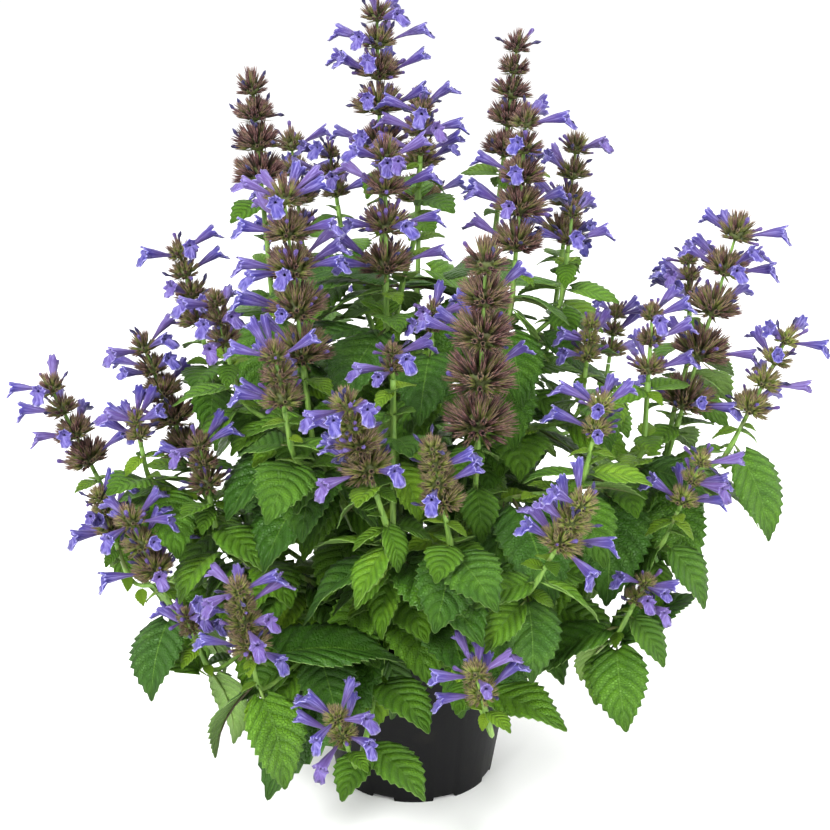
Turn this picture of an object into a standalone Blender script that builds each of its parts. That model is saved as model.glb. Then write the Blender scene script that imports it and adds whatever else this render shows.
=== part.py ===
"""Potted catmint: square green stems in a black nursery pot, opposite toothed leaves, and heads of calyx
whorls with two-lipped violet flowers.

Metres, +Z up. The origin is the middle of the pot's base, and -Y is the plant's front.
"""

import math
import random

import bmesh
import bpy
from mathutils import Matrix, Vector
from mathutils.bvhtree import BVHTree

MM = 0.001
UP = Vector((0, 0, 1))

# Pot: a 15 cm nursery pot
POT_HEIGHT = 120 * MM
POT_RIM_RADIUS = 75 * MM
POT_BASE_RADIUS = 55 * MM
POT_WALL = 1.3 * MM
POT_FLOOR = 1.7 * MM
POT_SIDES = 20
RIM_BAND_HEIGHT = 12 * MM
RIM_STEP = 2.2 * MM
FOOT_HEIGHT = 3 * MM
FOOT_WALL = 1.6 * MM
CENTRE_FOOT_RADIUS = 14 * MM
NOTCHES = 8
NOTCH_WIDTH = 16 * MM
NOTCH_HEIGHT = 2.6 * MM
NOTCH_DEPTH = 6.4 * MM
DRAIN_HOLES = 5
DRAIN_RADIUS = 4.5 * MM
DRAIN_CIRCLE = 34 * MM
DRAIN_SIDES = 6
SHARP_EDGE = 40

# Soil
SOIL_TOP = 106 * MM
SOIL_EDGE_DROP = 2 * MM
SOIL_RING_RADIUS = 42 * MM
SOIL_GAP = 0.5 * MM
SOIL_BUMP = 1.5 * MM
HOLE_DEPTH = 12 * MM
HOLE_CLEARANCE = 1.7 * MM
SOIL_SEED = 5

# Stems
MAIN_STEM_RADIUS = 2.3 * MM
SIDE_STEM_RADIUS = 1.8 * MM
STEM_TOP_RADIUS = 1.6 * MM
MAIN_POINTS = 5
SIDE_POINTS = 4
NECK_HEIGHT = 3 * MM
OUTWARD_START = 0.25
START_PULL = 0.33
END_PULL = 0.35
BRANCH_HEIGHTS = (0.55, 0.42, 0.68, 0.3, 0.15)
LOWEST_BRANCH = 138 * MM
SEAT_GAP = 0.3 * MM
CLEARANCE = 0.5 * MM

# Heads: each whorl is a bowl, its sizes as shares of the whorl's radius
HEAD_FOOT = 5 * MM
HEAD_AXIS_RADIUS = 1.5 * MM
LEAN_PER_METRE = 110
BIG_HEAD = 16.5 * MM
BIG_HEAD_SIDES = 5
HEAD_SIDES = 4
TOP_WHORL = 0.6
WHORL_GROWTH = 0.14
WHORL_STEP = 0.85
STEP_GROWTH = 0.12
CORE_SHARE = 0.44
BOWL_HEIGHT = 0.78
BOWL_RIM = 0.42
BOWL_CENTRE = 0.12
OUTER_RISE = 27
INNER_RISE = 63
OUTER_CALYX = 1.22
INNER_CALYX = 1.18
TIP_HEIGHT = 1.25

# Flowers
FLOWER_REACH = 19 * MM
TUBE_SHARE = 0.45
THROAT_SHARE = 0.8
TUBE_RADIUS = 1.3 * MM
MOUTH_RADIUS = 4.0 * MM
LOWER_LIP = 2.0 * MM
GUARD_START = 0.6
FLOWER_TRIES = [(share, turn) for share in (1, 0.8, 0.6) for turn in (0, 15, -15)]

# Leaves
LEAF_LENGTH = 88 * MM
SIDE_LEAF_LENGTH = 76 * MM
SMALLEST_LEAF = 0.32
FULL_SIZE_DROP = 95 * MM
LOW_LEAF_GROWTH = 0.35
LEAF_WIDTH_SHARE = 0.58
WIDTH_SCALE = 2.62
FOOT_ROUNDING = 0.55
TIP_TAPER = 0.9
PETIOLE_SHARE = 0.16
PETIOLE_HALF_WIDTH = 1.6 * MM
BLADE_THICKNESS = 1.9 * MM
BLADE_FOLD = 0.22
RIB_MIDDLE = 0.42
TOOTHED_LENGTH = 56 * MM
ROOT_SINK = 1.2 * MM
BRACT_DROP = 6 * MM
FIRST_LEAF_DROP = 24 * MM
LEAF_STEP = 72 * MM
SIDE_LEAF_STEP = 57 * MM
STEP_WITH_SIZE = 12 * MM
LOWEST_LEAF = 36 * MM
LOWEST_SIDE_LEAF = 36 * MM
LOWEST_TIP = 42 * MM
OUTLINE_RADIUS = 95 * MM
LOW_ZONE = 230 * MM
LOW_ZONE_DEPTH = 110 * MM
HIDDEN_RADIUS = 110 * MM
HIDDEN_CENTRE_Y = 50 * MM
HIDDEN_BACK_Y = 15 * MM
FACING_OUT = 0.3
LEAF_RISE = 25
LEAF_DROOP = 35
LOW_LEAF_DROOP = 42
AZIMUTH_SPREAD = 14
PITCH_SPREAD = 12
ROLL_SPREAD = 16
LEAST_BEND = 0.45
BEND_WITH_SIZE = 0.5
SET_LEAF_BEND = 0.75
LEAF_TRIES = [
    (swing, dip, shrink)
    for shrink in (1, 0.8)
    for dip in (0, -22, 20)
    for swing in (0, 22, -22, 44, -44)
]

CALYX_BROWN = (0.16, 0.07, 0.05, 1)
LEAF_GREEN = (0.06, 0.16, 0.03, 1)
POT_BLACK = (0.012, 0.012, 0.013, 1)
SOIL_BROWN = (0.035, 0.022, 0.014, 1)

# Leaves set by hand, which make the outline and the front: the head on whose line the leaf grows, the height
# of its root, and its tip's x, y, z, in mm
SET_LEAVES = [
    ("low_left", 140, -95, -134, 47),
    ("left_drooping", 158, -188, -98, 130),
    ("left_brown", 215, -89, -115, 199),
    ("tall_left", 262, -76, -50, 187),
    ("low_left", 154, 2, -150, 138),
    ("low_front_left", 95, 9, -172, 73),
    ("low_front_left", 92, -44, -176, 75),
    ("mid_front", 158, -10, -105, 76),
    ("front", 150, 30, -118, 98),
    ("left_brown", 150, -61, -105, 98),
    ("mid_right", 152, 62, -110, 106),
    ("front", 198, 24, -125, 150),
    ("low_right", 158, 67, -115, 126),
    ("low_right", 148, 97, -100, 112),
    ("low_front_right", 122, 95, -160, 115),
    ("low_right", 168, 155, -130, 141),
    ("low_right", 174, 191, -95, 166),
    ("far_right_side", 251, 230, -55, 191),
    ("front_right", 252, 95, -115, 253),
    ("left_side", 292, -129, -45, 260),
    ("front_right", 235, 34, -140, 186),
    ("mid_front", 246, -8, -150, 214),
    ("mid_right", 300, 130, -75, 251),
    ("left_outer_low", 232, -184, -105, 204),
    ("low_front_left", 120, 11, -150, 107),
    ("low_front_left", 124, -43, -125, 98),
    ("low_front_right", 134, 30, -118, 98),
    ("mid_front", 205, -37, -125, 178),
    ("front_left", 190, -58, -85, 164),
    ("centre_low", 322, 25, -105, 290),
    ("mid_inner", 285, -1, -165, 295),
    ("centre", 330, -25, -95, 292),
]

# Branches that bear only leaves set by hand
BARE_BRANCHES = ("low_front_left", "low_front_right")

# Each stem's foot in the soil, x and y in mm
STEMS = {
    "centre": (-4, 12),
    "right": (15, 4),
    "left": (-24, 8),
    "front_left": (-16, -14),
    "front": (6, -17),
    "far_right": (33, 2),
    "right_low": (27, -18),
    "far_left": (-38, -3),
    "left_low": (-32, -22),
    "front_low": (-9, -34),
    "back_left": (-20, 28),
    "back": (4, 35),
    "back_right": (27, 24),
}

# Each stem's heads, its leader first: name, tip x, y, z in mm, lean to the right in degrees, whorls,
# radius of the widest whorl in mm, how far apart the whorls are, open flowers
HEADS = {
    "centre": [
        ("tall_centre", -23, 30, 524, -1, 5, 16, 1.25, 12),
        ("centre", -17, -40, 450, 0, 4, 17, 1.45, 10),
        ("centre_side", 6, 0, 466, 3, 3, 11, 1.2, 4),
        ("behind_left", -56, 62, 427, -8, 3, 11, 1.3, 4),
        ("centre_low", 12, -52, 352, 2, 2, 10, 1.2, 3),
    ],
    "right": [
        ("tall_right", 66, 32, 503, 6, 5, 14, 1.15, 1),
        ("right", 69, -22, 467, 3, 5, 16, 1.2, 9),
        ("right_side", 101, 0, 402, 5, 2, 11, 1.9, 3),
        ("right_inner", 112, -32, 338, 4, 3, 10, 1.2, 2),
    ],
    "left": [
        ("tall_left", -103, 30, 479, -4, 4, 17, 1.15, 0),
        ("left_side", -148, -20, 382, -12, 4, 13, 1.2, 5),
    ],
    "front_left": [
        ("front_left", -75, -100, 438, -4, 5, 18, 1.4, 13),
        ("front_left_low", -80, -135, 352, -6, 3, 14, 1.2, 5),
        ("left_inner", -121, -70, 364, -10, 3, 12, 1.2, 3),
    ],
    "front": [
        ("front", 41, -130, 409, 1, 5, 21, 1.3, 4),
        ("front_right", 112, -110, 312, 8, 2, 13, 1.5, 5),
        ("front_small", 10, -162, 304, -9, 4, 13, 1.05, 2),
        ("low_front_right", 35, -182, 172, -12, 2, 14, 1.5, 7),
    ],
    "far_right": [
        ("far_right", 204, -20, 398, 13, 5, 19, 1.5, 11),
        ("far_right_back", 180, 32, 363, -4, 3, 11, 1.2, 4),
        ("far_right_side", 238, -30, 328, 22, 4, 13, 1.35, 6),
    ],
    "right_low": [
        ("mid_right", 147, -52, 351, 0, 3, 12, 1.7, 4),
        ("right_green", 179, -82, 265, 18, 3, 11, 1.5, 4),
        ("low_right", 144, -112, 196, 20, 2, 11, 1.4, 3),
        ("right_front", 99, -170, 274, 22, 3, 15, 1.15, 7),
    ],
    "far_left": [
        ("left_outer", -173, -30, 324, -18, 5, 15, 1.2, 8),
        ("left_outer_low", -172, -72, 289, -6, 2, 11, 1.2, 3),
        ("far_left", -236, -20, 293, -22, 4, 15, 1.25, 7),
    ],
    "left_low": [
        ("left_brown", -131, -90, 280, -6, 3, 13, 1.2, 3),
        ("left_cluster", -176, -102, 236, -18, 3, 16, 1.35, 8),
        ("left_drooping", -141, -118, 176, -14, 2, 10, 1.2, 3),
        ("left_far_low", -203, -50, 228, -14, 3, 12, 1.1, 4),
    ],
    "front_low": [
        ("mid_front", -39, -172, 335, -14, 4, 15, 1.1, 6),
        ("mid_inner", -12, -120, 347, 0, 2, 10, 1.2, 2),
        ("low_left", -103, -162, 216, -5, 4, 13, 1.2, 6),
        ("low_front_left", -47, -176, 139, -13, 2, 13, 1.4, 7),
    ],
    "back_left": [
        ("back_left", -85, 115, 425, -6, 4, 16, 1.3, 6),
        ("back_left_low", -140, 160, 285, -10, 3, 13, 1.2, 5),
    ],
    "back": [
        ("back", 5, 135, 450, 1, 4, 17, 1.3, 6),
        ("back_low", -25, 205, 305, -3, 3, 13, 1.2, 5),
    ],
    "back_right": [
        ("back_right", 112, 105, 425, 7, 4, 16, 1.3, 6),
        ("back_right_low", 150, 155, 290, 9, 3, 13, 1.2, 5),
    ],
}


# Small tools
def clear_scene():
    for obj in list(bpy.data.objects):
        bpy.data.objects.remove(obj)


def new_collection(name):
    collection = bpy.data.collections.new(name)
    bpy.context.scene.collection.children.link(collection)
    return collection


def new_material(name, colour, roughness):
    material = bpy.data.materials.new(name)
    material.use_nodes = True
    shader = material.node_tree.nodes["Principled BSDF"]
    shader.inputs["Base Color"].default_value = colour
    shader.inputs["Roughness"].default_value = roughness
    return material


def object_of(bm, name, collection, material=None):
    mesh = bpy.data.meshes.new(name)
    bm.to_mesh(mesh)
    bm.free()
    obj = bpy.data.objects.new(name, mesh)
    if material:
        mesh.materials.append(material)
    collection.objects.link(obj)
    return obj


def pointing(direction):
    """A turn that brings +Z to the direction."""
    return direction.to_track_quat("Z", "Y").to_matrix().to_4x4()


def turned_z(angle):
    return Matrix.Rotation(angle, 4, "Z")


def cone(low_radius, high_radius, low, high, sides, place=Matrix.Identity(4)):
    bm = bmesh.new()
    bmesh.ops.create_cone(
        bm, cap_ends=True, segments=sides, radius1=low_radius, radius2=high_radius, depth=high - low
    )
    bmesh.ops.translate(bm, verts=bm.verts, vec=UP * (low + high) / 2)
    bm.transform(place)
    return bm


def evaluated_mesh(obj):
    graph = bpy.context.evaluated_depsgraph_get()
    return bpy.data.meshes.new_from_object(obj.evaluated_get(graph))


def apply_boolean(obj, others, operation, solver):
    """Cuts or joins every object of the collection with obj, then removes them."""
    modifier = obj.modifiers.new(operation.lower(), "BOOLEAN")
    modifier.operation = operation
    modifier.operand_type = "COLLECTION"
    modifier.collection = others
    modifier.solver = solver
    mesh = evaluated_mesh(obj)
    obj.modifiers.clear()
    obj.data = mesh
    for other in list(others.objects):
        bpy.data.objects.remove(other)
    bpy.data.collections.remove(others)


def tidy_union(obj):
    """Drops the points that a union left along straight edges, then every shell but the largest."""
    bm = bmesh.new()
    bm.from_mesh(obj.data)
    spare = [vert for vert in bm.verts if len(vert.link_edges) == 2]
    bmesh.ops.dissolve_verts(bm, verts=spare)
    bmesh.ops.triangulate(bm, faces=bm.faces)
    left = set(bm.faces)
    shells = []
    while left:
        shell = []
        front = [left.pop()]
        while front:
            face = front.pop()
            shell.append(face)
            seams = [edge for edge in face.edges if len(edge.link_faces) == 2]
            near = {other for edge in seams for other in edge.link_faces} & left
            left -= near
            front += near
        shells.append(shell)
    shells.sort(key=len)
    for shell in shells[:-1]:
        bmesh.ops.delete(bm, geom=shell, context="FACES")
    bm.to_mesh(obj.data)
    bm.free()


def turned_solid(name, profile, collection, material):
    """A solid turned round Z from a profile that runs from axis to axis, down its outer side."""
    mesh = bpy.data.meshes.new(name)
    mesh.from_pydata([(r, 0, z) for r, z in profile], [(i, i + 1) for i in range(len(profile) - 1)], [])
    mesh.materials.append(material)
    obj = bpy.data.objects.new(name, mesh)
    collection.objects.link(obj)
    screw = obj.modifiers.new("turn", "SCREW")
    screw.steps = screw.render_steps = POT_SIDES
    screw.use_merge_vertices = True
    screw.merge_threshold = 0.00001
    solid = evaluated_mesh(obj)
    obj.modifiers.clear()
    obj.data = solid
    return obj


def shade_round(obj):
    """Smooth shading, with its sharp corners kept."""
    obj.data.shade_smooth()
    obj.data.set_sharp_from_angle(angle=math.radians(SHARP_EDGE))


class Room:
    """The shapes placed so far, so that the next one can be turned clear of them."""

    def __init__(self):
        self.shapes = []

    @staticmethod
    def box(bm):
        low = Vector([min(v.co[i] for v in bm.verts) for i in range(3)])
        high = Vector([max(v.co[i] for v in bm.verts) for i in range(3)])
        return low, high

    def add(self, bm, owner):
        self.shapes.append((BVHTree.FromBMesh(bm), *self.box(bm), owner))
        bm.free()

    def met_by(self, bm, but_not=()):
        """The owner of a shape that bm's surface crosses, or None."""
        low, high = self.box(bm)
        tree = BVHTree.FromBMesh(bm)
        for other, other_low, other_high, owner in self.shapes:
            apart = any(low[i] > other_high[i] or high[i] < other_low[i] for i in range(3))
            if owner not in but_not and not apart and tree.overlap(other):
                return owner
        return None


# Pot and soil
def wall_radius(z):
    """Outer radius of the pot's tapered wall, below the rim band."""
    top = POT_RIM_RADIUS - RIM_STEP
    return POT_BASE_RADIUS + (top - POT_BASE_RADIUS) * z / (POT_HEIGHT - RIM_BAND_HEIGHT)


def inner_radius(z):
    """Inner radius of the pot, from its floor straight to its brim."""
    floor_top = FOOT_HEIGHT + POT_FLOOR
    low = wall_radius(floor_top) - POT_WALL
    brim = POT_RIM_RADIUS - 2 * POT_WALL
    return low + (brim - low) * (z - floor_top) / (POT_HEIGHT - floor_top)


def make_pot(parts, material):
    """The pot stands on a notched foot ring and on the middle of its floor, with drain holes between them."""
    floor_top = FOOT_HEIGHT + POT_FLOOR
    band_low = POT_HEIGHT - RIM_BAND_HEIGHT
    profile = [
        (0, floor_top),
        (inner_radius(floor_top), floor_top),
        (inner_radius(POT_HEIGHT), POT_HEIGHT),
        (POT_RIM_RADIUS, POT_HEIGHT),
        (POT_RIM_RADIUS, band_low),
        (wall_radius(band_low), band_low),
        (POT_BASE_RADIUS, 0),
        (POT_BASE_RADIUS - FOOT_WALL, 0),
        (POT_BASE_RADIUS - FOOT_WALL, FOOT_HEIGHT),
        (CENTRE_FOOT_RADIUS + FOOT_WALL, FOOT_HEIGHT),
        (CENTRE_FOOT_RADIUS, 0),
        (0, 0),
    ]
    pot = turned_solid("pot", profile, parts, material)
    cutters = new_collection("pot_cutters")
    for i in range(NOTCHES):
        notch = bmesh.new()
        bmesh.ops.create_cube(notch, size=1)
        bmesh.ops.scale(notch, vec=(NOTCH_DEPTH, NOTCH_WIDTH, 2 * NOTCH_HEIGHT), verts=notch.verts)
        bmesh.ops.translate(notch, vec=(POT_BASE_RADIUS - FOOT_WALL, 0, 0), verts=notch.verts)
        notch.transform(turned_z((i + 0.5) * math.tau / NOTCHES))
        object_of(notch, f"notch_{i}", cutters)
    for i in range(DRAIN_HOLES):
        place = turned_z(i * math.tau / DRAIN_HOLES) @ Matrix.Translation((DRAIN_CIRCLE, 0, 0))
        hole = cone(DRAIN_RADIUS, DRAIN_RADIUS, 0, 2 * floor_top, DRAIN_SIDES, place)
        object_of(hole, f"drain_{i}", cutters)
    apply_boolean(pot, cutters, "DIFFERENCE", "EXACT")
    shade_round(pot)


def make_soil(parts, material):
    """Compost that fills the pot, uneven on top, with a square hole for each stem."""
    low = FOOT_HEIGHT + POT_FLOOR + SOIL_GAP
    edge = SOIL_TOP - SOIL_EDGE_DROP
    profile = [
        (0, SOIL_TOP),
        (SOIL_RING_RADIUS, SOIL_TOP),
        (inner_radius(edge) - SOIL_GAP, edge),
        (inner_radius(low) - SOIL_GAP, low),
        (0, low),
    ]
    soil = turned_solid("soil", profile, parts, material)
    draw = random.Random(SOIL_SEED)
    for vertex in soil.data.vertices:
        if vertex.co.z > SOIL_TOP - SOIL_EDGE_DROP / 2:
            vertex.co.z += draw.uniform(-SOIL_BUMP, SOIL_BUMP)
    cutters = new_collection("soil_cutters")
    radius = MAIN_STEM_RADIUS + HOLE_CLEARANCE
    for name, (x, y) in STEMS.items():
        place = Matrix.Translation((x * MM, y * MM, 0))
        hole = cone(radius, radius, SOIL_TOP - HOLE_DEPTH, SOIL_TOP + HOLE_DEPTH, 4, place)
        object_of(hole, f"hole_{name}", cutters)
    apply_boolean(soil, cutters, "DIFFERENCE", "EXACT")
    shade_round(soil)


def add_pot_to_room(room):
    """Leaves stay out of the whole pot. Stems start in it, so they only stay off its wall."""
    top = POT_HEIGHT + POT_WALL
    outside = POT_RIM_RADIUS + POT_WALL
    inside = POT_RIM_RADIUS - 3 * POT_WALL
    room.add(cone(outside, outside, 0, top, 32), "pot")
    wall = cone(inside, inside, 0, top, 32)
    ends = [face for face in wall.faces if abs(face.normal.z) > 0.5]
    bmesh.ops.delete(wall, geom=ends, context="FACES")
    room.add(wall, "pot_wall")


# Heads
def whorls_of(head):
    """(height above the head's base, radius) of each whorl, the lowest first, and the head's length."""
    count, widest, spacing = head[5], head[6] * MM, head[7]
    radii = [widest * min(1, TOP_WHORL + WHORL_GROWTH * k) for k in range(count)]
    steps = [widest * spacing * (WHORL_STEP + STEP_GROWTH * k) for k in range(count - 1)]
    heights = [HEAD_FOOT + sum(steps[k:]) for k in range(count)]
    return list(zip(heights, radii))[::-1], heights[0] + TIP_HEIGHT * radii[0]


def axis_of(head):
    """(base, direction) of a head's axis. It leans out from the plant's front and back."""
    x, y, z, lean = head[1:5]
    forward = math.tan(math.radians(y * MM * LEAN_PER_METRE))
    direction = Vector((math.tan(math.radians(lean)), forward, 1)).normalized()
    return Vector((x, y, z)) * MM - direction * whorls_of(head)[1], direction


def head_frame(head):
    """The head's own axes at its base: +Z along its axis, turned by chance."""
    base, direction = axis_of(head)
    turn = random.Random(head[0]).uniform(0, math.tau)
    return Matrix.Translation(base) @ pointing(direction) @ turned_z(turn)


def head_profile(head, grow):
    """The lathe line of a head: a bowl for each whorl on a thin axis, and a point at the top."""
    whorls, length = whorls_of(head)
    thin = HEAD_AXIS_RADIUS + grow
    profile = [(0, 0), (thin, 0)]
    for height, radius in whorls:
        bowl = BOWL_HEIGHT * radius
        profile += [(thin, height), (CORE_SHARE * radius + grow, height + BOWL_RIM * bowl)]
        if head[6] * MM > BIG_HEAD or height == whorls[-1][0]:
            profile.append((thin, height + bowl))
    profile[-1] = (0, length)
    return profile


def head_core(head, grow):
    """The core, and its upper faces cut in triangles: face, whorl's centre, direction, radius, is outer."""
    bm = bmesh.new()
    chain = [bm.verts.new((r, 0, z)) for r, z in head_profile(head, grow)]
    edges = [bm.edges.new(pair) for pair in zip(chain, chain[1:])]
    sides = BIG_HEAD_SIDES if head[6] * MM > BIG_HEAD else HEAD_SIDES
    bmesh.ops.spin(
        bm, geom=chain + edges, axis=UP, cent=(0, 0, 0), steps=sides, angle=math.tau, use_merge=True
    )
    bmesh.ops.remove_doubles(bm, verts=bm.verts, dist=0.01 * MM)
    bmesh.ops.recalc_face_normals(bm, faces=bm.faces)
    whorls, length = whorls_of(head)
    tops = [height for height, _ in whorls[1:]] + [length]
    petals = []
    for (height, radius), top in zip(whorls, tops):
        bowl = BOWL_HEIGHT * radius
        rim = height + BOWL_RIM * bowl
        centre = UP * (height + BOWL_CENTRE * bowl)
        upper = [
            face
            for face in bm.faces
            if rim < face.calc_center_median().z < min(top, rim + radius)
            and max(v.co.xy.length for v in face.verts) > 0.9 * CORE_SHARE * radius
        ]
        for face in bmesh.ops.triangulate(bm, faces=upper)["faces"]:
            is_outer = sum(v.co.z < rim + 0.1 * MM for v in face.verts) == 2
            rise = math.radians(OUTER_RISE if is_outer else INNER_RISE)
            level = (face.calc_center_median() - centre).xy.normalized() * math.cos(rise)
            petals.append((face, centre, Vector((*level, math.sin(rise))), radius, is_outer))
    return bm, petals


def make_head(head, flowers=(), grow=0.0):
    """The core with each upper face drawn out to a calyx, or opened into a flower where one is planned."""
    bm, petals = head_core(head, grow)
    frame = head_frame(head)
    up = frame.to_3x3().inverted() @ UP
    opened = {flower[0]: flower for flower in flowers}
    draw = random.Random(head[0] + "_calyces")
    for number, (face, centre, out, radius, is_outer) in enumerate(petals):
        reach = radius * (OUTER_CALYX if is_outer else INNER_CALYX) * draw.uniform(0.9, 1.08)
        if number in opened:
            open_flower(bm, face, *opened[number][1:], up)
        else:
            tip = bmesh.ops.poke(bm, faces=[face])["verts"][0]
            tip.co = centre + out * (reach + grow)
    bm.transform(frame)
    return bm


def open_flower(bm, face, centre, out, length, up):
    """Draws a three-cornered face out into a narrow tube and a mouth with two upper lips and a lower one."""
    side = up.cross(out).normalized()
    upper = out.cross(side)
    middle = face.calc_center_median()
    turns = [math.atan2((v.co - middle).dot(upper), (v.co - middle).dot(side)) for v in face.verts]
    lowest = min(turns, key=math.sin)
    ranks = sorted((turn - lowest) % math.tau for turn in turns)
    corners = [ranks.index((turn - lowest) % math.tau) * math.tau / 3 - math.pi / 2 for turn in turns]
    for share, radius in ((TUBE_SHARE, TUBE_RADIUS), (1, MOUTH_RADIUS)):
        face = bmesh.ops.extrude_discrete_faces(bm, faces=[face])["faces"][0]
        for vert, angle in zip(face.verts, corners):
            lip = LOWER_LIP if share == 1 and math.sin(angle) < 0 else 0
            across = side * math.cos(angle) + upper * math.sin(angle)
            vert.co = centre + out * (length * share + lip) + across * (radius + lip)
    throat = bmesh.ops.poke(bm, faces=[face])["verts"][0]
    throat.co = centre + out * length * THROAT_SHARE


def plan_flowers(head, room):
    """The head's open flowers, at random where there is room: petal number, centre, direction and length."""
    bm, petals = head_core(head, 0)
    choices = [(n, *petal[1:4]) for n, petal in enumerate(petals) if petal[4]]
    bm.free()
    draw = random.Random(head[0] + "_flowers")
    draw.shuffle(choices)
    flowers = []
    mouth = MOUTH_RADIUS + LOWER_LIP + CLEARANCE
    for number, centre, level_out, radius in choices:
        reach = FLOWER_REACH * draw.uniform(0.85, 1.15)
        for share, turn in FLOWER_TRIES:
            out = turned_z(math.radians(turn)).to_3x3() @ level_out
            length = radius + reach * share
            place = head_frame(head) @ Matrix.Translation(centre) @ pointing(out)
            guard = cone(TUBE_RADIUS, mouth, radius * GUARD_START, length + LOWER_LIP + CLEARANCE, 6, place)
            if len(flowers) < head[8] and not room.met_by(guard, [head[0]]):
                room.add(guard, head[0] + "_flower")
                flowers.append((number, centre, out, length))
                break
            guard.free()
    return flowers


# Stems
def grown(start, towards, end, direction, count):
    """Points of a stem that leaves start in one direction and ends square under a head."""
    reach = (end - start).length
    start_pull = start + towards * reach * START_PULL
    end_pull = end - direction * reach * END_PULL
    points = []
    for i in range(count):
        t = i / (count - 1)
        s = 1 - t
        points.append(
            start * s**3 + start_pull * (3 * s * s * t) + end_pull * (3 * s * t * t) + end * t**3
        )
    points[-2] = end - direction * (end - points[-2]).length
    return points


def main_line(stem):
    """The stem's own line, from its hole in the soil to the base of its leader."""
    x, y = STEMS[stem]
    base, direction = axis_of(HEADS[stem][0])
    foot = Vector((x * MM, y * MM, SOIL_TOP - HOLE_DEPTH + SEAT_GAP))
    neck = foot + UP * (HOLE_DEPTH + NECK_HEIGHT)
    towards = Vector((x, y, 0)).normalized() * OUTWARD_START + UP
    return [foot] + grown(neck, towards, base - direction * SEAT_GAP, direction, MAIN_POINTS)


def point_at_height(line, height):
    """The first point at the height of a line of straight pieces."""
    for start, end in zip(line, line[1:]):
        if min(start.z, end.z) <= height <= max(start.z, end.z):
            return start.lerp(end, (height - start.z) / (end.z - start.z))
    return line[-2].copy()


def side_line(stem_line, head, share):
    """A branch's line, from inside the stem to the base of its head."""
    base, direction = axis_of(head)
    end = base - direction * SEAT_GAP
    start = point_at_height(stem_line, max(LOWEST_BRANCH, SOIL_TOP + (end.z - SOIL_TOP) * share))
    return grown(start, (end - start).normalized() + UP / 2, end, direction, SIDE_POINTS)


def make_tube(points, start_radius, end_radius, collection):
    """A square tube with closed ends, as a mesh."""
    curve = bpy.data.curves.new("stem_line", "CURVE")
    curve.dimensions = "3D"
    curve.bevel_depth = 1
    curve.bevel_resolution = 0
    curve.use_fill_caps = True
    spline = curve.splines.new("POLY")
    spline.points.add(len(points) - 1)
    for i, point in enumerate(points):
        spline.points[i].co = (*point, 1)
        spline.points[i].radius = start_radius + (end_radius - start_radius) * i / (len(points) - 1)
    rope = bpy.data.objects.new("stem_line", curve)
    collection.objects.link(rope)
    mesh = evaluated_mesh(rope)
    bpy.data.objects.remove(rope)
    bm = bmesh.new()
    bm.from_mesh(mesh)
    bmesh.ops.remove_doubles(bm, verts=bm.verts, dist=0.01 * MM)
    bmesh.ops.recalc_face_normals(bm, faces=bm.faces)
    return bm


def plan_stem(stem, room, collection):
    """The leader and its branches: head, line and first radius. A branch starts where its way is clear."""
    heads = HEADS[stem]
    own = ["pot"] + [head[0] + "_line" for head in heads]
    leader = main_line(stem)
    planned = []
    for head in heads:
        is_leader = head is heads[0]
        lines = [leader] if is_leader else [side_line(leader, head, share) for share in BRANCH_HEIGHTS]
        radius = MAIN_STEM_RADIUS if is_leader else SIDE_STEM_RADIUS
        for line in lines:
            guard = make_tube(line, radius + CLEARANCE, STEM_TOP_RADIUS + CLEARANCE, collection)
            if line is lines[-1] or not room.met_by(guard, own + [head[0]]):
                break
            guard.free()
        room.add(guard, head[0] + "_line")
        planned.append((head, line, radius))
    return planned


# Leaves
def leaf_nodes(line, is_leader):
    """(point, drop from the line's top) of each pair of leaves, from the top down."""
    spans = [(high - low).length for low, high in zip(line, line[1:])]
    drop = BRACT_DROP if is_leader else FIRST_LEAF_DROP
    lowest = LOWEST_LEAF if is_leader else LOWEST_SIDE_LEAF
    nodes = []
    while drop < sum(spans) - lowest:
        along = sum(spans) - drop
        i = 0
        while i < len(spans) - 1 and along > spans[i]:
            along -= spans[i]
            i += 1
        point = line[i].lerp(line[i + 1], along / spans[i])
        nodes.append((point, drop))
        drop += (LEAF_STEP if is_leader else SIDE_LEAF_STEP) + STEP_WITH_SIZE * leaf_size(point, drop)
    return nodes


def lowness(point):
    return max(0, (LOW_ZONE - point.z) / LOW_ZONE_DEPTH)


def leaf_size(point, drop):
    """A leaf's size as a share of the largest: small under a head, larger down the stem and near the soil."""
    return min(1, SMALLEST_LEAF + drop / FULL_SIZE_DROP + LOW_LEAF_GROWTH * lowness(point))


def places_near(root, azimuth, pitch, roll, length, bend):
    """The places to try for a leaf: root, azimuth, pitch, roll, length and bend of each."""
    return [
        (root, azimuth + swing, pitch + dip, roll, length * shrink, bend)
        for swing, dip, shrink in LEAF_TRIES
    ]


def set_leaf_choices(stem):
    """As leaf_choices, for the leaves set by hand."""
    choices = []
    for number, (owner, height, *tip) in enumerate(SET_LEAVES):
        for line in [line for head, line, _ in stem if head[0] == owner]:
            root = point_at_height(line, height * MM)
            reach = Vector(tip) * MM - root
            azimuth = math.degrees(math.atan2(reach.y, reach.x))
            pitch = math.degrees(math.asin(reach.z / reach.length) + SET_LEAF_BEND / 2)
            places = places_near(root, azimuth, pitch, 0, reach.length, SET_LEAF_BEND)
            choices.append((owner + "_line", f"set_leaf_{number}", places))
    return choices


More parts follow.
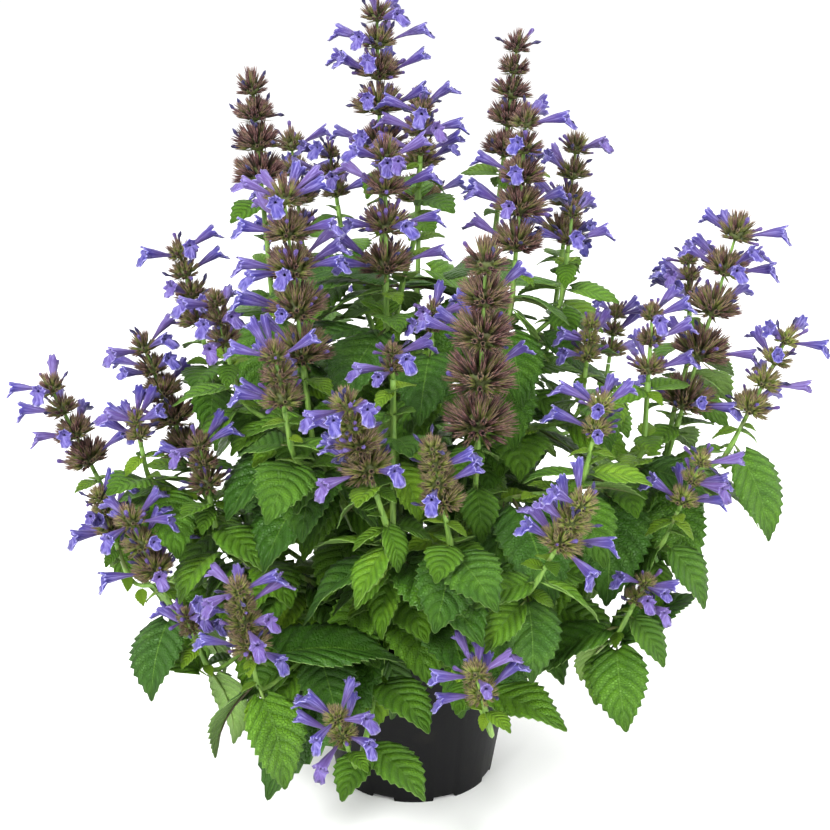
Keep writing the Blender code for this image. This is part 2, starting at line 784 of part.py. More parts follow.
def leaf_choices(stem):
    """For each leaf of a planned stem: its line's owner, its pair and the places to try for it.

    Leaves stand in crossed pairs. Those in front that would point into the plant's middle are left out.
    """
    choices = []
    for head, line, _ in stem:
        if head[0] in BARE_BRANCHES:
            continue
        is_leader = head is stem[0][0]
        draw = random.Random(head[0] + "_leaves")
        turn = draw.uniform(0, 180)
        for step, (point, drop) in enumerate(leaf_nodes(line, is_leader)):
            size = leaf_size(point, drop)
            length = size * (LEAF_LENGTH if is_leader else SIDE_LEAF_LENGTH)
            spread = min(1, point.xy.length / HIDDEN_RADIUS)
            sag = LEAF_DROOP * size * spread + LOW_LEAF_DROOP * lowness(point)
            away = math.atan2(point.y - HIDDEN_CENTRE_Y, point.x)
            for side in (0, 180):
                azimuth = turn + 90 * step + side + draw.uniform(-AZIMUTH_SPREAD, AZIMUTH_SPREAD)
                pitch = LEAF_RISE - sag + draw.uniform(-PITCH_SPREAD, PITCH_SPREAD)
                roll = draw.uniform(-ROLL_SPREAD, ROLL_SPREAD)
                bend = (LEAST_BEND + BEND_WITH_SIZE * size) * draw.uniform(0.8, 1.2)
                reach = length * draw.uniform(0.88, 1.1)
                faces_in = math.cos(math.radians(azimuth) - away) < FACING_OUT
                is_hidden = point.xy.length < HIDDEN_RADIUS and point.y < HIDDEN_BACK_Y
                if faces_in and is_hidden and drop > FIRST_LEAF_DROP:
                    continue
                places = places_near(point, azimuth, pitch, roll, reach, bend)
                choices.append((head[0] + "_line", f"{head[0]}_pair_{step}", places))
    return choices


def leaf_frame(place):
    """The leaf's own axes: +Y along it, +Z out of its upper face. Its root is sunk in the stem."""
    root, azimuth, pitch, roll = place[:4]
    return (
        Matrix.Translation(root)
        @ turned_z(math.radians(azimuth - 90))
        @ Matrix.Rotation(math.radians(pitch), 4, "X")
        @ Matrix.Rotation(math.radians(roll), 4, "Y")
        @ Matrix.Translation((0, -ROOT_SINK, 0))
    )


def blade_point(t, across, lift, length, bend):
    """A point of the arched blade: t along the midrib, across it, and lifted off it."""
    angle = bend * t
    along = Vector((0, math.sin(angle), math.cos(angle) - 1)) / bend * length
    normal = Vector((0, math.sin(angle), math.cos(angle)))
    return along + Vector((across, 0, 0)) + normal * lift


def half_width(t, length):
    """Half the blade's width at t: an egg shape, widest below its middle."""
    u = (t - PETIOLE_SHARE) / (1 - PETIOLE_SHARE)
    return LEAF_WIDTH_SHARE / 2 * length * WIDTH_SCALE * u**FOOT_ROUNDING * (1 - u) ** TIP_TAPER


def blade_edge(length):
    """(t, half width) round one side of the leaf: petiole, heart-shaped foot and teeth."""
    teeth = 3 if length > TOOTHED_LENGTH else 2
    edge = [(0, 0), (PETIOLE_SHARE, PETIOLE_HALF_WIDTH)][: teeth - 1]
    foot = PETIOLE_SHARE + 0.05
    edge.append((foot, 0.75 * half_width(foot + 0.03, length)))
    for k in range(teeth):
        valley = PETIOLE_SHARE + (1 - PETIOLE_SHARE) * (k + 0.12) / (teeth + 0.15)
        point = PETIOLE_SHARE + (1 - PETIOLE_SHARE) * (k + 0.72) / (teeth + 0.15)
        if k > 0:
            edge.append((valley, 0.9 * half_width(valley, length)))
        edge.append((point, 1.08 * half_width(point, length)))
    return edge


def make_leaf(place, grow=0.0):
    """An arched blade, folded along its midrib and thinned to its toothed edge: a loft from rib to edge."""
    length, bend = place[4] + grow, place[5]
    edge = blade_edge(length)
    bm = bmesh.new()
    root = bm.verts.new(blade_point(0, 0, 0, length, bend))
    tip = bm.verts.new(blade_point(1, 0, 0, length, bend))
    rib = bm.verts.new(blade_point(RIB_MIDDLE, 0, grow, length, bend))
    keel = bm.verts.new(blade_point(RIB_MIDDLE, 0, -BLADE_THICKNESS - grow, length, bend))
    for side in (1, -1):
        rim = [
            bm.verts.new(blade_point(t, side * (width + grow), width * BLADE_FOLD, length, bend))
            for t, width in edge[1:]
        ]
        rim = [root] + rim + [tip]
        for near, far in zip(rim, rim[1:]):
            bm.faces.new((rib, far, near))
            bm.faces.new((keel, far, near))
    bmesh.ops.recalc_face_normals(bm, faces=bm.faces)
    bm.transform(leaf_frame(place))
    return bm


def height_above_outline(point):
    """How far a point is above the plant's lower outline, which rises to both sides and to the back."""
    return point.z - LOWEST_TIP - max(0, math.hypot(point.x, max(0, point.y)) - OUTLINE_RADIUS)


def plan_leaves(choices, room):
    """The first place of each leaf that is clear of everything but its own stem and its pair."""
    planned = []
    for own_line, pair, places in choices:
        for place in places:
            guard = make_leaf(place, CLEARANCE)
            is_high = min(height_above_outline(v.co) for v in guard.verts) > 0
            if is_high and not room.met_by(guard, (own_line, pair)):
                room.add(guard, pair)
                planned.append(place)
                break
            guard.free()
    return planned


def make_stem(name, stem, leaves, parts, material):
    """The leader, its branches and all their leaves, as one body."""
    tubes = [make_tube(line, radius, STEM_TOP_RADIUS, parts) for _, line, radius in stem]
    joined = new_collection("joined_to_" + name)
    for i, tube in enumerate(tubes[1:]):
        object_of(tube, f"branch_{i}", joined)
    for i, place in enumerate(leaves):
        object_of(make_leaf(place), f"leaf_{i}", joined)
    obj = object_of(tubes[0], "stem_" + name, parts, material)
    apply_boolean(obj, joined, "UNION", "MANIFOLD")
    tidy_union(obj)


def main():
    clear_scene()
    parts = new_collection("potted_catmint")
    pot_black = new_material("pot_plastic", POT_BLACK, 0.55)
    soil_brown = new_material("soil", SOIL_BROWN, 0.95)
    green = new_material("leaf", LEAF_GREEN, 0.6)
    brown = new_material("calyx", CALYX_BROWN, 0.7)

    make_pot(parts, pot_black)
    make_soil(parts, soil_brown)

    room = Room()
    add_pot_to_room(room)
    all_heads = [head for heads in HEADS.values() for head in heads]
    for head in all_heads:
        room.add(make_head(head, grow=CLEARANCE), head[0])
    stems = {name: plan_stem(name, room, parts) for name in HEADS}
    flowers = {head[0]: plan_flowers(head, room) for head in all_heads}
    leaves = {name: plan_leaves(set_leaf_choices(stem), room) for name, stem in stems.items()}
    for name, stem in stems.items():
        leaves[name] += plan_leaves(leaf_choices(stem), room)

    for head in all_heads:
        object_of(make_head(head, flowers[head[0]]), "head_" + head[0], parts, brown)
    for name, stem in stems.items():
        make_stem(name, stem, leaves[name], parts, green)
    print(len(all_heads), "heads with", sum(map(len, flowers.values())), "flowers")
    print(len(stems), "stems with", sum(map(len, leaves.values())), "leaves")


main()
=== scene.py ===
# %% [markdown]
# # A potted catmint in full flower
# The plant stands in a black nursery pot. Its square green stems carry pairs of toothed leaves, and each
# branch ends in a head of stacked whorls: rings of spiky brown-purple calyces with violet-blue flowers
# among them. The solid model gives every stem, head and large leaf its place. This lesson works out the
# same places again from the same numbers, then grows the fine plant there.

# %% Load the frame
import math
import random

import bmesh
import bpy
from mathutils import Matrix, Vector, noise
from mathutils.bvhtree import BVHTree


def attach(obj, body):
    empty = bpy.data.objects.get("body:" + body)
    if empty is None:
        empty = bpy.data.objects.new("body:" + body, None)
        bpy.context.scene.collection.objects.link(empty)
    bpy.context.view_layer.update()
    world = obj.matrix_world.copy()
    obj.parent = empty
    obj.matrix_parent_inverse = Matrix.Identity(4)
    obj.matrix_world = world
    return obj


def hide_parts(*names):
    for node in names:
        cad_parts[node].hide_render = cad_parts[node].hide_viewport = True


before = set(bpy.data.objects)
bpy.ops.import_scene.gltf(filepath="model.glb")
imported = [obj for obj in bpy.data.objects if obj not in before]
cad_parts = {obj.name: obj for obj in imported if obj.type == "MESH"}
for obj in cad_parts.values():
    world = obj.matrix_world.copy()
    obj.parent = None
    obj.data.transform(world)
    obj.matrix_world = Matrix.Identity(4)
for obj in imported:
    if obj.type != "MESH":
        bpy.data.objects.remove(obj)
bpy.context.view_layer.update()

MM = 0.001
UP = Vector((0, 0, 1))
print(len(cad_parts), "nodes in the frame")

# %% [markdown]
# ## The camera
# The photograph looks at the plant from the front and from about twenty degrees above. A long lens a little
# over a metre away gives the same mild perspective. The camera comes first, so that every later step can be
# checked through it.

# %% Camera
LENS = 76.97
SENSOR_WIDTH = 36
CAMERA_PLACE = (0.0009, -1.10, 0.66)
LOOK_DOWN = 19.96

camera_data = bpy.data.cameras.new("camera")
camera_data.lens = LENS
camera_data.sensor_width = SENSOR_WIDTH
camera = bpy.data.objects.new("camera", camera_data)
camera.location = CAMERA_PLACE
camera.rotation_euler = (math.radians(90 - LOOK_DOWN), 0, 0)
bpy.context.scene.collection.objects.link(camera)
bpy.context.scene.camera = camera
print("camera at", tuple(round(value, 3) for value in camera.location))

# %% [markdown]
# ## Small tools
# Shapes are made as bmeshes and moved by matrices. A finished bmesh becomes an object at the origin, with its
# place in its mesh. Some shapes are measured only, to see whether two would meet.

# %% Mesh tools
def pointing(direction):
    """A turn that brings +Z to the direction."""
    return direction.to_track_quat("Z", "Y").to_matrix().to_4x4()


def turned_z(angle):
    return Matrix.Rotation(angle, 4, "Z")


def around(radius, angle, height):
    """A point at an angle round the +Z axis."""
    return Vector((radius * math.cos(angle), radius * math.sin(angle), height))


def aim_of(azimuth, rise):
    """A direction of length 1, by its azimuth and its rise above the level."""
    return around(math.cos(rise), azimuth, math.sin(rise))


def evaluated_mesh(obj):
    graph = bpy.context.evaluated_depsgraph_get()
    return bpy.data.meshes.new_from_object(obj.evaluated_get(graph))


def cone(low_radius, high_radius, low, high, sides, place=Matrix.Identity(4)):
    bm = bmesh.new()
    bmesh.ops.create_cone(
        bm, cap_ends=True, segments=sides, radius1=low_radius, radius2=high_radius, depth=high - low
    )
    bmesh.ops.translate(bm, verts=bm.verts, vec=UP * (low + high) / 2)
    bm.transform(place)
    return bm


def mesh_object(bm, name, materials):
    """Turns a finished bmesh into a smooth-shaded object at the origin."""
    mesh = bpy.data.meshes.new(name)
    bm.to_mesh(mesh)
    bm.free()
    for material in materials:
        mesh.materials.append(material)
    mesh.shade_smooth()
    obj = bpy.data.objects.new(name, mesh)
    bpy.context.scene.collection.objects.link(obj)
    return obj


print("mesh tools ready")

# %% A record of the room that is taken
class Room:
    """The shapes placed so far, so that the next one can be turned clear of them."""

    def __init__(self):
        self.shapes = []

    @staticmethod
    def box(bm):
        low = Vector([min(v.co[i] for v in bm.verts) for i in range(3)])
        high = Vector([max(v.co[i] for v in bm.verts) for i in range(3)])
        return low, high

    def add(self, bm, owner):
        self.shapes.append((BVHTree.FromBMesh(bm), *self.box(bm), owner))
        bm.free()

    def met_by(self, bm, but_not=()):
        """The owner of a shape that bm's surface crosses, or None."""
        low, high = self.box(bm)
        tree = BVHTree.FromBMesh(bm)
        for other, other_low, other_high, owner in self.shapes:
            apart = any(low[i] > other_high[i] or high[i] < other_low[i] for i in range(3))
            if owner not in but_not and not apart and tree.overlap(other):
                return owner
        return None


print("an empty room holds", len(Room().shapes), "shapes")

# %% [markdown]
# ## The pot's sizes
# A nursery pot 15 cm across and 12 cm high, filled to 14 mm below its rim. The stems stand in holes in the
# soil.

# %% Pot and soil sizes
POT_HEIGHT = 120 * MM
POT_RIM_RADIUS = 75 * MM
POT_BASE_RADIUS = 55 * MM
POT_WALL = 1.3 * MM
POT_FLOOR = 1.7 * MM
RIM_BAND_HEIGHT = 12 * MM
RIM_STEP = 2.2 * MM
FOOT_HEIGHT = 3 * MM
FOOT_WALL = 1.6 * MM
CENTRE_FOOT_RADIUS = 14 * MM
NOTCHES = 8
NOTCH_WIDTH = 16 * MM
NOTCH_HEIGHT = 2.6 * MM
SOIL_TOP = 106 * MM
SOIL_EDGE_DROP = 2 * MM
SOIL_GAP = 0.5 * MM
HOLE_DEPTH = 12 * MM
SEAT_GAP = 0.3 * MM
CLEARANCE = 0.5 * MM


def wall_radius(z):
    """Outer radius of the pot's tapered wall, below the rim band."""
    top = POT_RIM_RADIUS - RIM_STEP
    return POT_BASE_RADIUS + (top - POT_BASE_RADIUS) * z / (POT_HEIGHT - RIM_BAND_HEIGHT)


def inner_radius(z):
    """Inner radius of the pot, from its floor straight to its brim."""
    floor_top = FOOT_HEIGHT + POT_FLOOR
    low = wall_radius(floor_top) - POT_WALL
    brim = POT_RIM_RADIUS - 2 * POT_WALL
    return low + (brim - low) * (z - floor_top) / (POT_HEIGHT - floor_top)


def add_pot_to_room(room):
    """Leaves stay out of the whole pot. Stems start in it, so they only stay off its wall."""
    top = POT_HEIGHT + POT_WALL
    outside = POT_RIM_RADIUS + POT_WALL
    inside = POT_RIM_RADIUS - 3 * POT_WALL
    room.add(cone(outside, outside, 0, top, 32), "pot")
    wall = cone(inside, inside, 0, top, 32)
    ends = [face for face in wall.faces if abs(face.normal.z) > 0.5]
    bmesh.ops.delete(wall, geom=ends, context="FACES")
    room.add(wall, "pot_wall")


print("pot wall at half height:", round(wall_radius(POT_HEIGHT / 2) * 1000, 1), "mm from the axis")

# %% [markdown]
# ## Where the stems and heads are
# Thirteen stems leave the soil. Each ends in a leader's head and bears side branches with smaller heads. The
# tables below are the plant's plan: a foot for each stem, and for each head its tip, lean, number of whorls,
# widest whorl, how far apart the whorls are, and open flowers.

# %% The plan of stems
STEMS = {
    "centre": (-4, 12),
    "right": (15, 4),
    "left": (-24, 8),
    "front_left": (-16, -14),
    "front": (6, -17),
    "far_right": (33, 2),
    "right_low": (27, -18),
    "far_left": (-38, -3),
    "left_low": (-32, -22),
    "front_low": (-9, -34),
    "back_left": (-20, 28),
    "back": (4, 35),
    "back_right": (27, 24),
}
print(len(STEMS), "stems")

# %% The plan of heads
HEADS = {
    "centre": [
        ("tall_centre", -23, 30, 524, -1, 5, 16, 1.25, 12),
        ("centre", -17, -40, 450, 0, 4, 17, 1.45, 10),
        ("centre_side", 6, 0, 466, 3, 3, 11, 1.2, 4),
        ("behind_left", -56, 62, 427, -8, 3, 11, 1.3, 4),
        ("centre_low", 12, -52, 352, 2, 2, 10, 1.2, 3),
    ],
    "right": [
        ("tall_right", 66, 32, 503, 6, 5, 14, 1.15, 1),
        ("right", 69, -22, 467, 3, 5, 16, 1.2, 9),
        ("right_side", 101, 0, 402, 5, 2, 11, 1.9, 3),
        ("right_inner", 112, -32, 338, 4, 3, 10, 1.2, 2),
    ],
    "left": [
        ("tall_left", -103, 30, 479, -4, 4, 17, 1.15, 0),
        ("left_side", -148, -20, 382, -12, 4, 13, 1.2, 5),
    ],
    "front_left": [
        ("front_left", -75, -100, 438, -4, 5, 18, 1.4, 13),
        ("front_left_low", -80, -135, 352, -6, 3, 14, 1.2, 5),
        ("left_inner", -121, -70, 364, -10, 3, 12, 1.2, 3),
    ],
    "front": [
        ("front", 41, -130, 409, 1, 5, 21, 1.3, 4),
        ("front_right", 112, -110, 312, 8, 2, 13, 1.5, 5),
        ("front_small", 10, -162, 304, -9, 4, 13, 1.05, 2),
        ("low_front_right", 35, -182, 172, -12, 2, 14, 1.5, 7),
    ],
    "far_right": [
        ("far_right", 204, -20, 398, 13, 5, 19, 1.5, 11),
        ("far_right_back", 180, 32, 363, -4, 3, 11, 1.2, 4),
        ("far_right_side", 238, -30, 328, 22, 4, 13, 1.35, 6),
    ],
    "right_low": [
        ("mid_right", 147, -52, 351, 0, 3, 12, 1.7, 4),
        ("right_green", 179, -82, 265, 18, 3, 11, 1.5, 4),
        ("low_right", 144, -112, 196, 20, 2, 11, 1.4, 3),
        ("right_front", 99, -170, 274, 22, 3, 15, 1.15, 7),
    ],
    "far_left": [
        ("left_outer", -173, -30, 324, -18, 5, 15, 1.2, 8),
        ("left_outer_low", -172, -72, 289, -6, 2, 11, 1.2, 3),
        ("far_left", -236, -20, 293, -22, 4, 15, 1.25, 7),
    ],
    "left_low": [
        ("left_brown", -131, -90, 280, -6, 3, 13, 1.2, 3),
        ("left_cluster", -176, -102, 236, -18, 3, 16, 1.35, 8),
        ("left_drooping", -141, -118, 176, -14, 2, 10, 1.2, 3),
        ("left_far_low", -203, -50, 228, -14, 3, 12, 1.1, 4),
    ],
    "front_low": [
        ("mid_front", -39, -172, 335, -14, 4, 15, 1.1, 6),
        ("mid_inner", -12, -120, 347, 0, 2, 10, 1.2, 2),
        ("low_left", -103, -162, 216, -5, 4, 13, 1.2, 6),
        ("low_front_left", -47, -176, 139, -13, 2, 13, 1.4, 7),
    ],
    "back_left": [
        ("back_left", -85, 115, 425, -6, 4, 16, 1.3, 6),
        ("back_left_low", -140, 160, 285, -10, 3, 13, 1.2, 5),
    ],
    "back": [
        ("back", 5, 135, 450, 1, 4, 17, 1.3, 6),
        ("back_low", -25, 205, 305, -3, 3, 13, 1.2, 5),
    ],
    "back_right": [
        ("back_right", 112, 105, 425, 7, 4, 16, 1.3, 6),
        ("back_right_low", 150, 155, 290, 9, 3, 13, 1.2, 5),
    ],
}
print(sum(map(len, HEADS.values())), "heads")

# %% [markdown]
# ## How a head is built up
# A whorl sits at each upper node. The top one is small and the lower ones are wider and farther apart. The
# heads lean outwards, the more the nearer they stand to the plant's edge. Each whorl's cup has upper faces,
# and a calyx or a flower grows from each in the solid model, so those faces are found here again.

# %% Head measures
HEAD_FOOT = 5 * MM
HEAD_AXIS_RADIUS = 1.5 * MM
LEAN_PER_METRE = 110
BIG_HEAD = 16.5 * MM
BIG_HEAD_SIDES = 5
HEAD_SIDES = 4
TOP_WHORL = 0.6
WHORL_GROWTH = 0.14
WHORL_STEP = 0.85
STEP_GROWTH = 0.12
CORE_SHARE = 0.44
BOWL_HEIGHT = 0.78
BOWL_RIM = 0.42
BOWL_CENTRE = 0.12
OUTER_RISE = 27
INNER_RISE = 63
OUTER_CALYX = 1.22
INNER_CALYX = 1.18
TIP_HEIGHT = 1.25
print("calyces rise by", OUTER_RISE, "to", INNER_RISE, "degrees")

# %% A head's axis and whorls
def whorls_of(head):
    """(height above the head's base, radius) of each whorl, the lowest first, and the head's length."""
    count, widest, spacing = head[5], head[6] * MM, head[7]
    radii = [widest * min(1, TOP_WHORL + WHORL_GROWTH * k) for k in range(count)]
    steps = [widest * spacing * (WHORL_STEP + STEP_GROWTH * k) for k in range(count - 1)]
    heights = [HEAD_FOOT + sum(steps[k:]) for k in range(count)]
    return list(zip(heights, radii))[::-1], heights[0] + TIP_HEIGHT * radii[0]


def axis_of(head):
    """(base, direction) of a head's axis. It leans out from the plant's front and back."""
    x, y, z, lean = head[1:5]
    forward = math.tan(math.radians(y * MM * LEAN_PER_METRE))
    direction = Vector((math.tan(math.radians(lean)), forward, 1)).normalized()
    return Vector((x, y, z)) * MM - direction * whorls_of(head)[1], direction


def head_frame(head):
    """The head's own axes at its base: +Z along its axis, turned by chance."""
    base, direction = axis_of(head)
    turn = random.Random(head[0]).uniform(0, math.tau)
    return Matrix.Translation(base) @ pointing(direction) @ turned_z(turn)


print("tallest head:", round(whorls_of(HEADS["centre"][0])[1] * 1000), "mm long")

# %% A head's solid core
def head_profile(head, grow):
    """The lathe line of a head: a bowl for each whorl on a thin axis, and a point at the top."""
    whorls, length = whorls_of(head)
    thin = HEAD_AXIS_RADIUS + grow
    profile = [(0, 0), (thin, 0)]
    for height, radius in whorls:
        bowl = BOWL_HEIGHT * radius
        profile += [(thin, height), (CORE_SHARE * radius + grow, height + BOWL_RIM * bowl)]
        if head[6] * MM > BIG_HEAD or height == whorls[-1][0]:
            profile.append((thin, height + bowl))
    profile[-1] = (0, length)
    return profile


def head_core(head, grow):
    """The core, and its upper faces cut in triangles: face, whorl's centre, direction, radius, is outer."""
    bm = bmesh.new()
    chain = [bm.verts.new((r, 0, z)) for r, z in head_profile(head, grow)]
    edges = [bm.edges.new(pair) for pair in zip(chain, chain[1:])]
    sides = BIG_HEAD_SIDES if head[6] * MM > BIG_HEAD else HEAD_SIDES
    bmesh.ops.spin(
        bm, geom=chain + edges, axis=UP, cent=(0, 0, 0), steps=sides, angle=math.tau, use_merge=True
    )
    bmesh.ops.remove_doubles(bm, verts=bm.verts, dist=0.01 * MM)
    bmesh.ops.recalc_face_normals(bm, faces=bm.faces)
    whorls, length = whorls_of(head)
    tops = [height for height, _ in whorls[1:]] + [length]
    petals = []
    for (height, radius), top in zip(whorls, tops):
        bowl = BOWL_HEIGHT * radius
        rim = height + BOWL_RIM * bowl
        centre = UP * (height + BOWL_CENTRE * bowl)
        upper = [
            face
            for face in bm.faces
            if rim < face.calc_center_median().z < min(top, rim + radius)
            and max(v.co.xy.length for v in face.verts) > 0.9 * CORE_SHARE * radius
        ]
        for face in bmesh.ops.triangulate(bm, faces=upper)["faces"]:
            is_outer = sum(v.co.z < rim + 0.1 * MM for v in face.verts) == 2
            rise = math.radians(OUTER_RISE if is_outer else INNER_RISE)
            level = (face.calc_center_median() - centre).xy.normalized() * math.cos(rise)
            petals.append((face, centre, Vector((*level, math.sin(rise))), radius, is_outer))
    return bm, petals


print(len(head_core(HEADS["centre"][0], 0)[1]), "solid calyces on the tallest head")

# %% The room that each head takes
def head_guard(head):
    """The head with a plain point for each calyx, a little larger than it will be."""
    bm, petals = head_core(head, CLEARANCE)
    draw = random.Random(head[0] + "_calyces")
    for face, centre, out, radius, is_outer in petals:
        reach = radius * (OUTER_CALYX if is_outer else INNER_CALYX) * draw.uniform(0.9, 1.08)
        tip = bmesh.ops.poke(bm, faces=[face])["verts"][0]
        tip.co = centre + out * (reach + CLEARANCE)
    bm.transform(head_frame(head))
    return bm


room = Room()
add_pot_to_room(room)
all_heads = [head for heads in HEADS.values() for head in heads]
for head in all_heads:
    room.add(head_guard(head), head[0])
print(len(room.shapes), "shapes in the room")

# %% [markdown]
# ## How the stems run
# A stem rises from its hole, leans out and comes in square under its head. A branch leaves its stem where its
# way is clear of what stands there already, so several heights are tried.

# %% Stem lines
MAIN_STEM_RADIUS = 2.3 * MM
SIDE_STEM_RADIUS = 1.8 * MM
STEM_TOP_RADIUS = 1.6 * MM
MAIN_POINTS = 5
SIDE_POINTS = 4
NECK_HEIGHT = 3 * MM
OUTWARD_START = 0.25
START_PULL = 0.33
END_PULL = 0.35
BRANCH_HEIGHTS = (0.55, 0.42, 0.68, 0.3, 0.15)
LOWEST_BRANCH = 138 * MM


def grown(start, towards, end, direction, count):
    """Points of a stem that leaves start in one direction and ends square under a head."""
    reach = (end - start).length
    start_pull = start + towards * reach * START_PULL
    end_pull = end - direction * reach * END_PULL
    points = []
    for i in range(count):
        t = i / (count - 1)
        s = 1 - t
        points.append(
            start * s**3 + start_pull * (3 * s * s * t) + end_pull * (3 * s * t * t) + end * t**3
        )
    points[-2] = end - direction * (end - points[-2]).length
    return points


def main_line(stem):
    """The stem's own line, from its hole in the soil to the base of its leader."""
    x, y = STEMS[stem]
    base, direction = axis_of(HEADS[stem][0])
    foot = Vector((x * MM, y * MM, SOIL_TOP - HOLE_DEPTH + SEAT_GAP))
    neck = foot + UP * (HOLE_DEPTH + NECK_HEIGHT)
    towards = Vector((x, y, 0)).normalized() * OUTWARD_START + UP
    return [foot] + grown(neck, towards, base - direction * SEAT_GAP, direction, MAIN_POINTS)


def point_at_height(line, height):
    """The first point at the height of a line of straight pieces."""
    for start, end in zip(line, line[1:]):
        if min(start.z, end.z) <= height <= max(start.z, end.z):
            return start.lerp(end, (height - start.z) / (end.z - start.z))
    return line[-2].copy()


def side_line(stem_line, head, share):
    """A branch's line, from inside the stem to the base of its head."""
    base, direction = axis_of(head)
    end = base - direction * SEAT_GAP
    start = point_at_height(stem_line, max(LOWEST_BRANCH, SOIL_TOP + (end.z - SOIL_TOP) * share))
    return grown(start, (end - start).normalized() + UP / 2, end, direction, SIDE_POINTS)


print("leader of the middle stem:", len(main_line("centre")), "points")

# %% The room that each stem takes
def make_tube(points, start_radius, end_radius, collection):
    """A square tube with closed ends, as a mesh."""
    curve = bpy.data.curves.new("stem_line", "CURVE")
    curve.dimensions = "3D"
    curve.bevel_depth = 1
    curve.bevel_resolution = 0
    curve.use_fill_caps = True
    spline = curve.splines.new("POLY")
    spline.points.add(len(points) - 1)
    for i, point in enumerate(points):
        spline.points[i].co = (*point, 1)
        spline.points[i].radius = start_radius + (end_radius - start_radius) * i / (len(points) - 1)
    rope = bpy.data.objects.new("stem_line", curve)
    collection.objects.link(rope)
    mesh = evaluated_mesh(rope)
    bpy.data.objects.remove(rope)
    bm = bmesh.new()
    bm.from_mesh(mesh)
    bmesh.ops.remove_doubles(bm, verts=bm.verts, dist=0.01 * MM)
    bmesh.ops.recalc_face_normals(bm, faces=bm.faces)
    return bm


def plan_stem(stem, room, collection):
    """The leader and its branches: head, line and first radius. A branch starts where its way is clear."""
    heads = HEADS[stem]
    own = ["pot"] + [head[0] + "_line" for head in heads]
    leader = main_line(stem)
    planned = []
    for head in heads:
        is_leader = head is heads[0]
        lines = [leader] if is_leader else [side_line(leader, head, share) for share in BRANCH_HEIGHTS]
        radius = MAIN_STEM_RADIUS if is_leader else SIDE_STEM_RADIUS
        for line in lines:
            guard = make_tube(line, radius + CLEARANCE, STEM_TOP_RADIUS + CLEARANCE, collection)
            if line is lines[-1] or not room.met_by(guard, own + [head[0]]):
                break
            guard.free()
        room.add(guard, head[0] + "_line")
        planned.append((head, line, radius))
    return planned


scratch = bpy.data.collections.new("scratch")
bpy.context.scene.collection.children.link(scratch)
stems = {name: plan_stem(name, room, scratch) for name in HEADS}
bpy.data.collections.remove(scratch)
print(sum(map(len, stems.values())), "lines planned")

# %% [markdown]
# ## Which flowers are open
# An open flower stands out from an outer calyx. Which calyces have one is left to chance, and where a
# flower would run into a stem or another head, it is swung, shortened or left out.

# %% Where the open flowers are
FLOWER_REACH = 19 * MM
TUBE_RADIUS = 1.3 * MM
MOUTH_RADIUS = 4.0 * MM
LOWER_LIP = 2.0 * MM
GUARD_START = 0.6
FLOWER_TRIES = [(share, turn) for share in (1, 0.8, 0.6) for turn in (0, 15, -15)]


def plan_flowers(head, room):
    """The head's open flowers, at random where there is room: petal number, centre, direction and length."""
    bm, petals = head_core(head, 0)
    choices = [(n, *petal[1:4]) for n, petal in enumerate(petals) if petal[4]]
    bm.free()
    draw = random.Random(head[0] + "_flowers")
    draw.shuffle(choices)
    flowers = []
    mouth = MOUTH_RADIUS + LOWER_LIP + CLEARANCE
    for number, centre, level_out, radius in choices:
        reach = FLOWER_REACH * draw.uniform(0.85, 1.15)
        for share, turn in FLOWER_TRIES:
            out = turned_z(math.radians(turn)).to_3x3() @ level_out
            length = radius + reach * share
            place = head_frame(head) @ Matrix.Translation(centre) @ pointing(out)
            guard = cone(TUBE_RADIUS, mouth, radius * GUARD_START, length + LOWER_LIP + CLEARANCE, 6, place)
            if len(flowers) < head[8] and not room.met_by(guard, [head[0]]):
                room.add(guard, head[0] + "_flower")
                flowers.append((number, centre, out, length))
                break
            guard.free()
    return flowers


flowers = {head[0]: plan_flowers(head, room) for head in all_heads}
print(sum(map(len, flowers.values())), "open flowers planned")

# %% [markdown]
# ## How the leaves stand
# Leaves grow in pairs, each pair at a right angle to the next. They are small under a head, larger further
# down, and they droop near the plant's edge. A leaf that would cut through another is swung, dipped or made
# smaller until it is clear. Some of the largest are given one by one.

# %% Leaf measures
LEAF_LENGTH = 88 * MM
SIDE_LEAF_LENGTH = 76 * MM
SMALLEST_LEAF = 0.32
FULL_SIZE_DROP = 95 * MM
LOW_LEAF_GROWTH = 0.35
LEAF_WIDTH_SHARE = 0.58
WIDTH_SCALE = 2.62
FOOT_ROUNDING = 0.55
TIP_TAPER = 0.9
PETIOLE_SHARE = 0.16
PETIOLE_HALF_WIDTH = 1.6 * MM
BLADE_THICKNESS = 1.9 * MM
BLADE_FOLD = 0.22
RIB_MIDDLE = 0.42
TOOTHED_LENGTH = 56 * MM
ROOT_SINK = 1.2 * MM
print("largest leaf:", round(LEAF_LENGTH * 1000), "mm long")

# %% How leaves are spaced and turned
BRACT_DROP = 6 * MM
FIRST_LEAF_DROP = 24 * MM
LEAF_STEP = 72 * MM
SIDE_LEAF_STEP = 57 * MM
STEP_WITH_SIZE = 12 * MM
LOWEST_LEAF = 36 * MM
LOWEST_SIDE_LEAF = 36 * MM
LOWEST_TIP = 42 * MM
OUTLINE_RADIUS = 95 * MM
LOW_ZONE = 230 * MM
LOW_ZONE_DEPTH = 110 * MM
HIDDEN_RADIUS = 110 * MM
HIDDEN_CENTRE_Y = 50 * MM
HIDDEN_BACK_Y = 15 * MM
FACING_OUT = 0.3
LEAF_RISE = 25
LEAF_DROOP = 35
LOW_LEAF_DROOP = 42
AZIMUTH_SPREAD = 14
PITCH_SPREAD = 12
ROLL_SPREAD = 16
LEAST_BEND = 0.45
BEND_WITH_SIZE = 0.5
SET_LEAF_BEND = 0.75
LEAF_TRIES = [
    (swing, dip, shrink)
    for shrink in (1, 0.8)
    for dip in (0, -22, 20)
    for swing in (0, 22, -22, 44, -44)
]
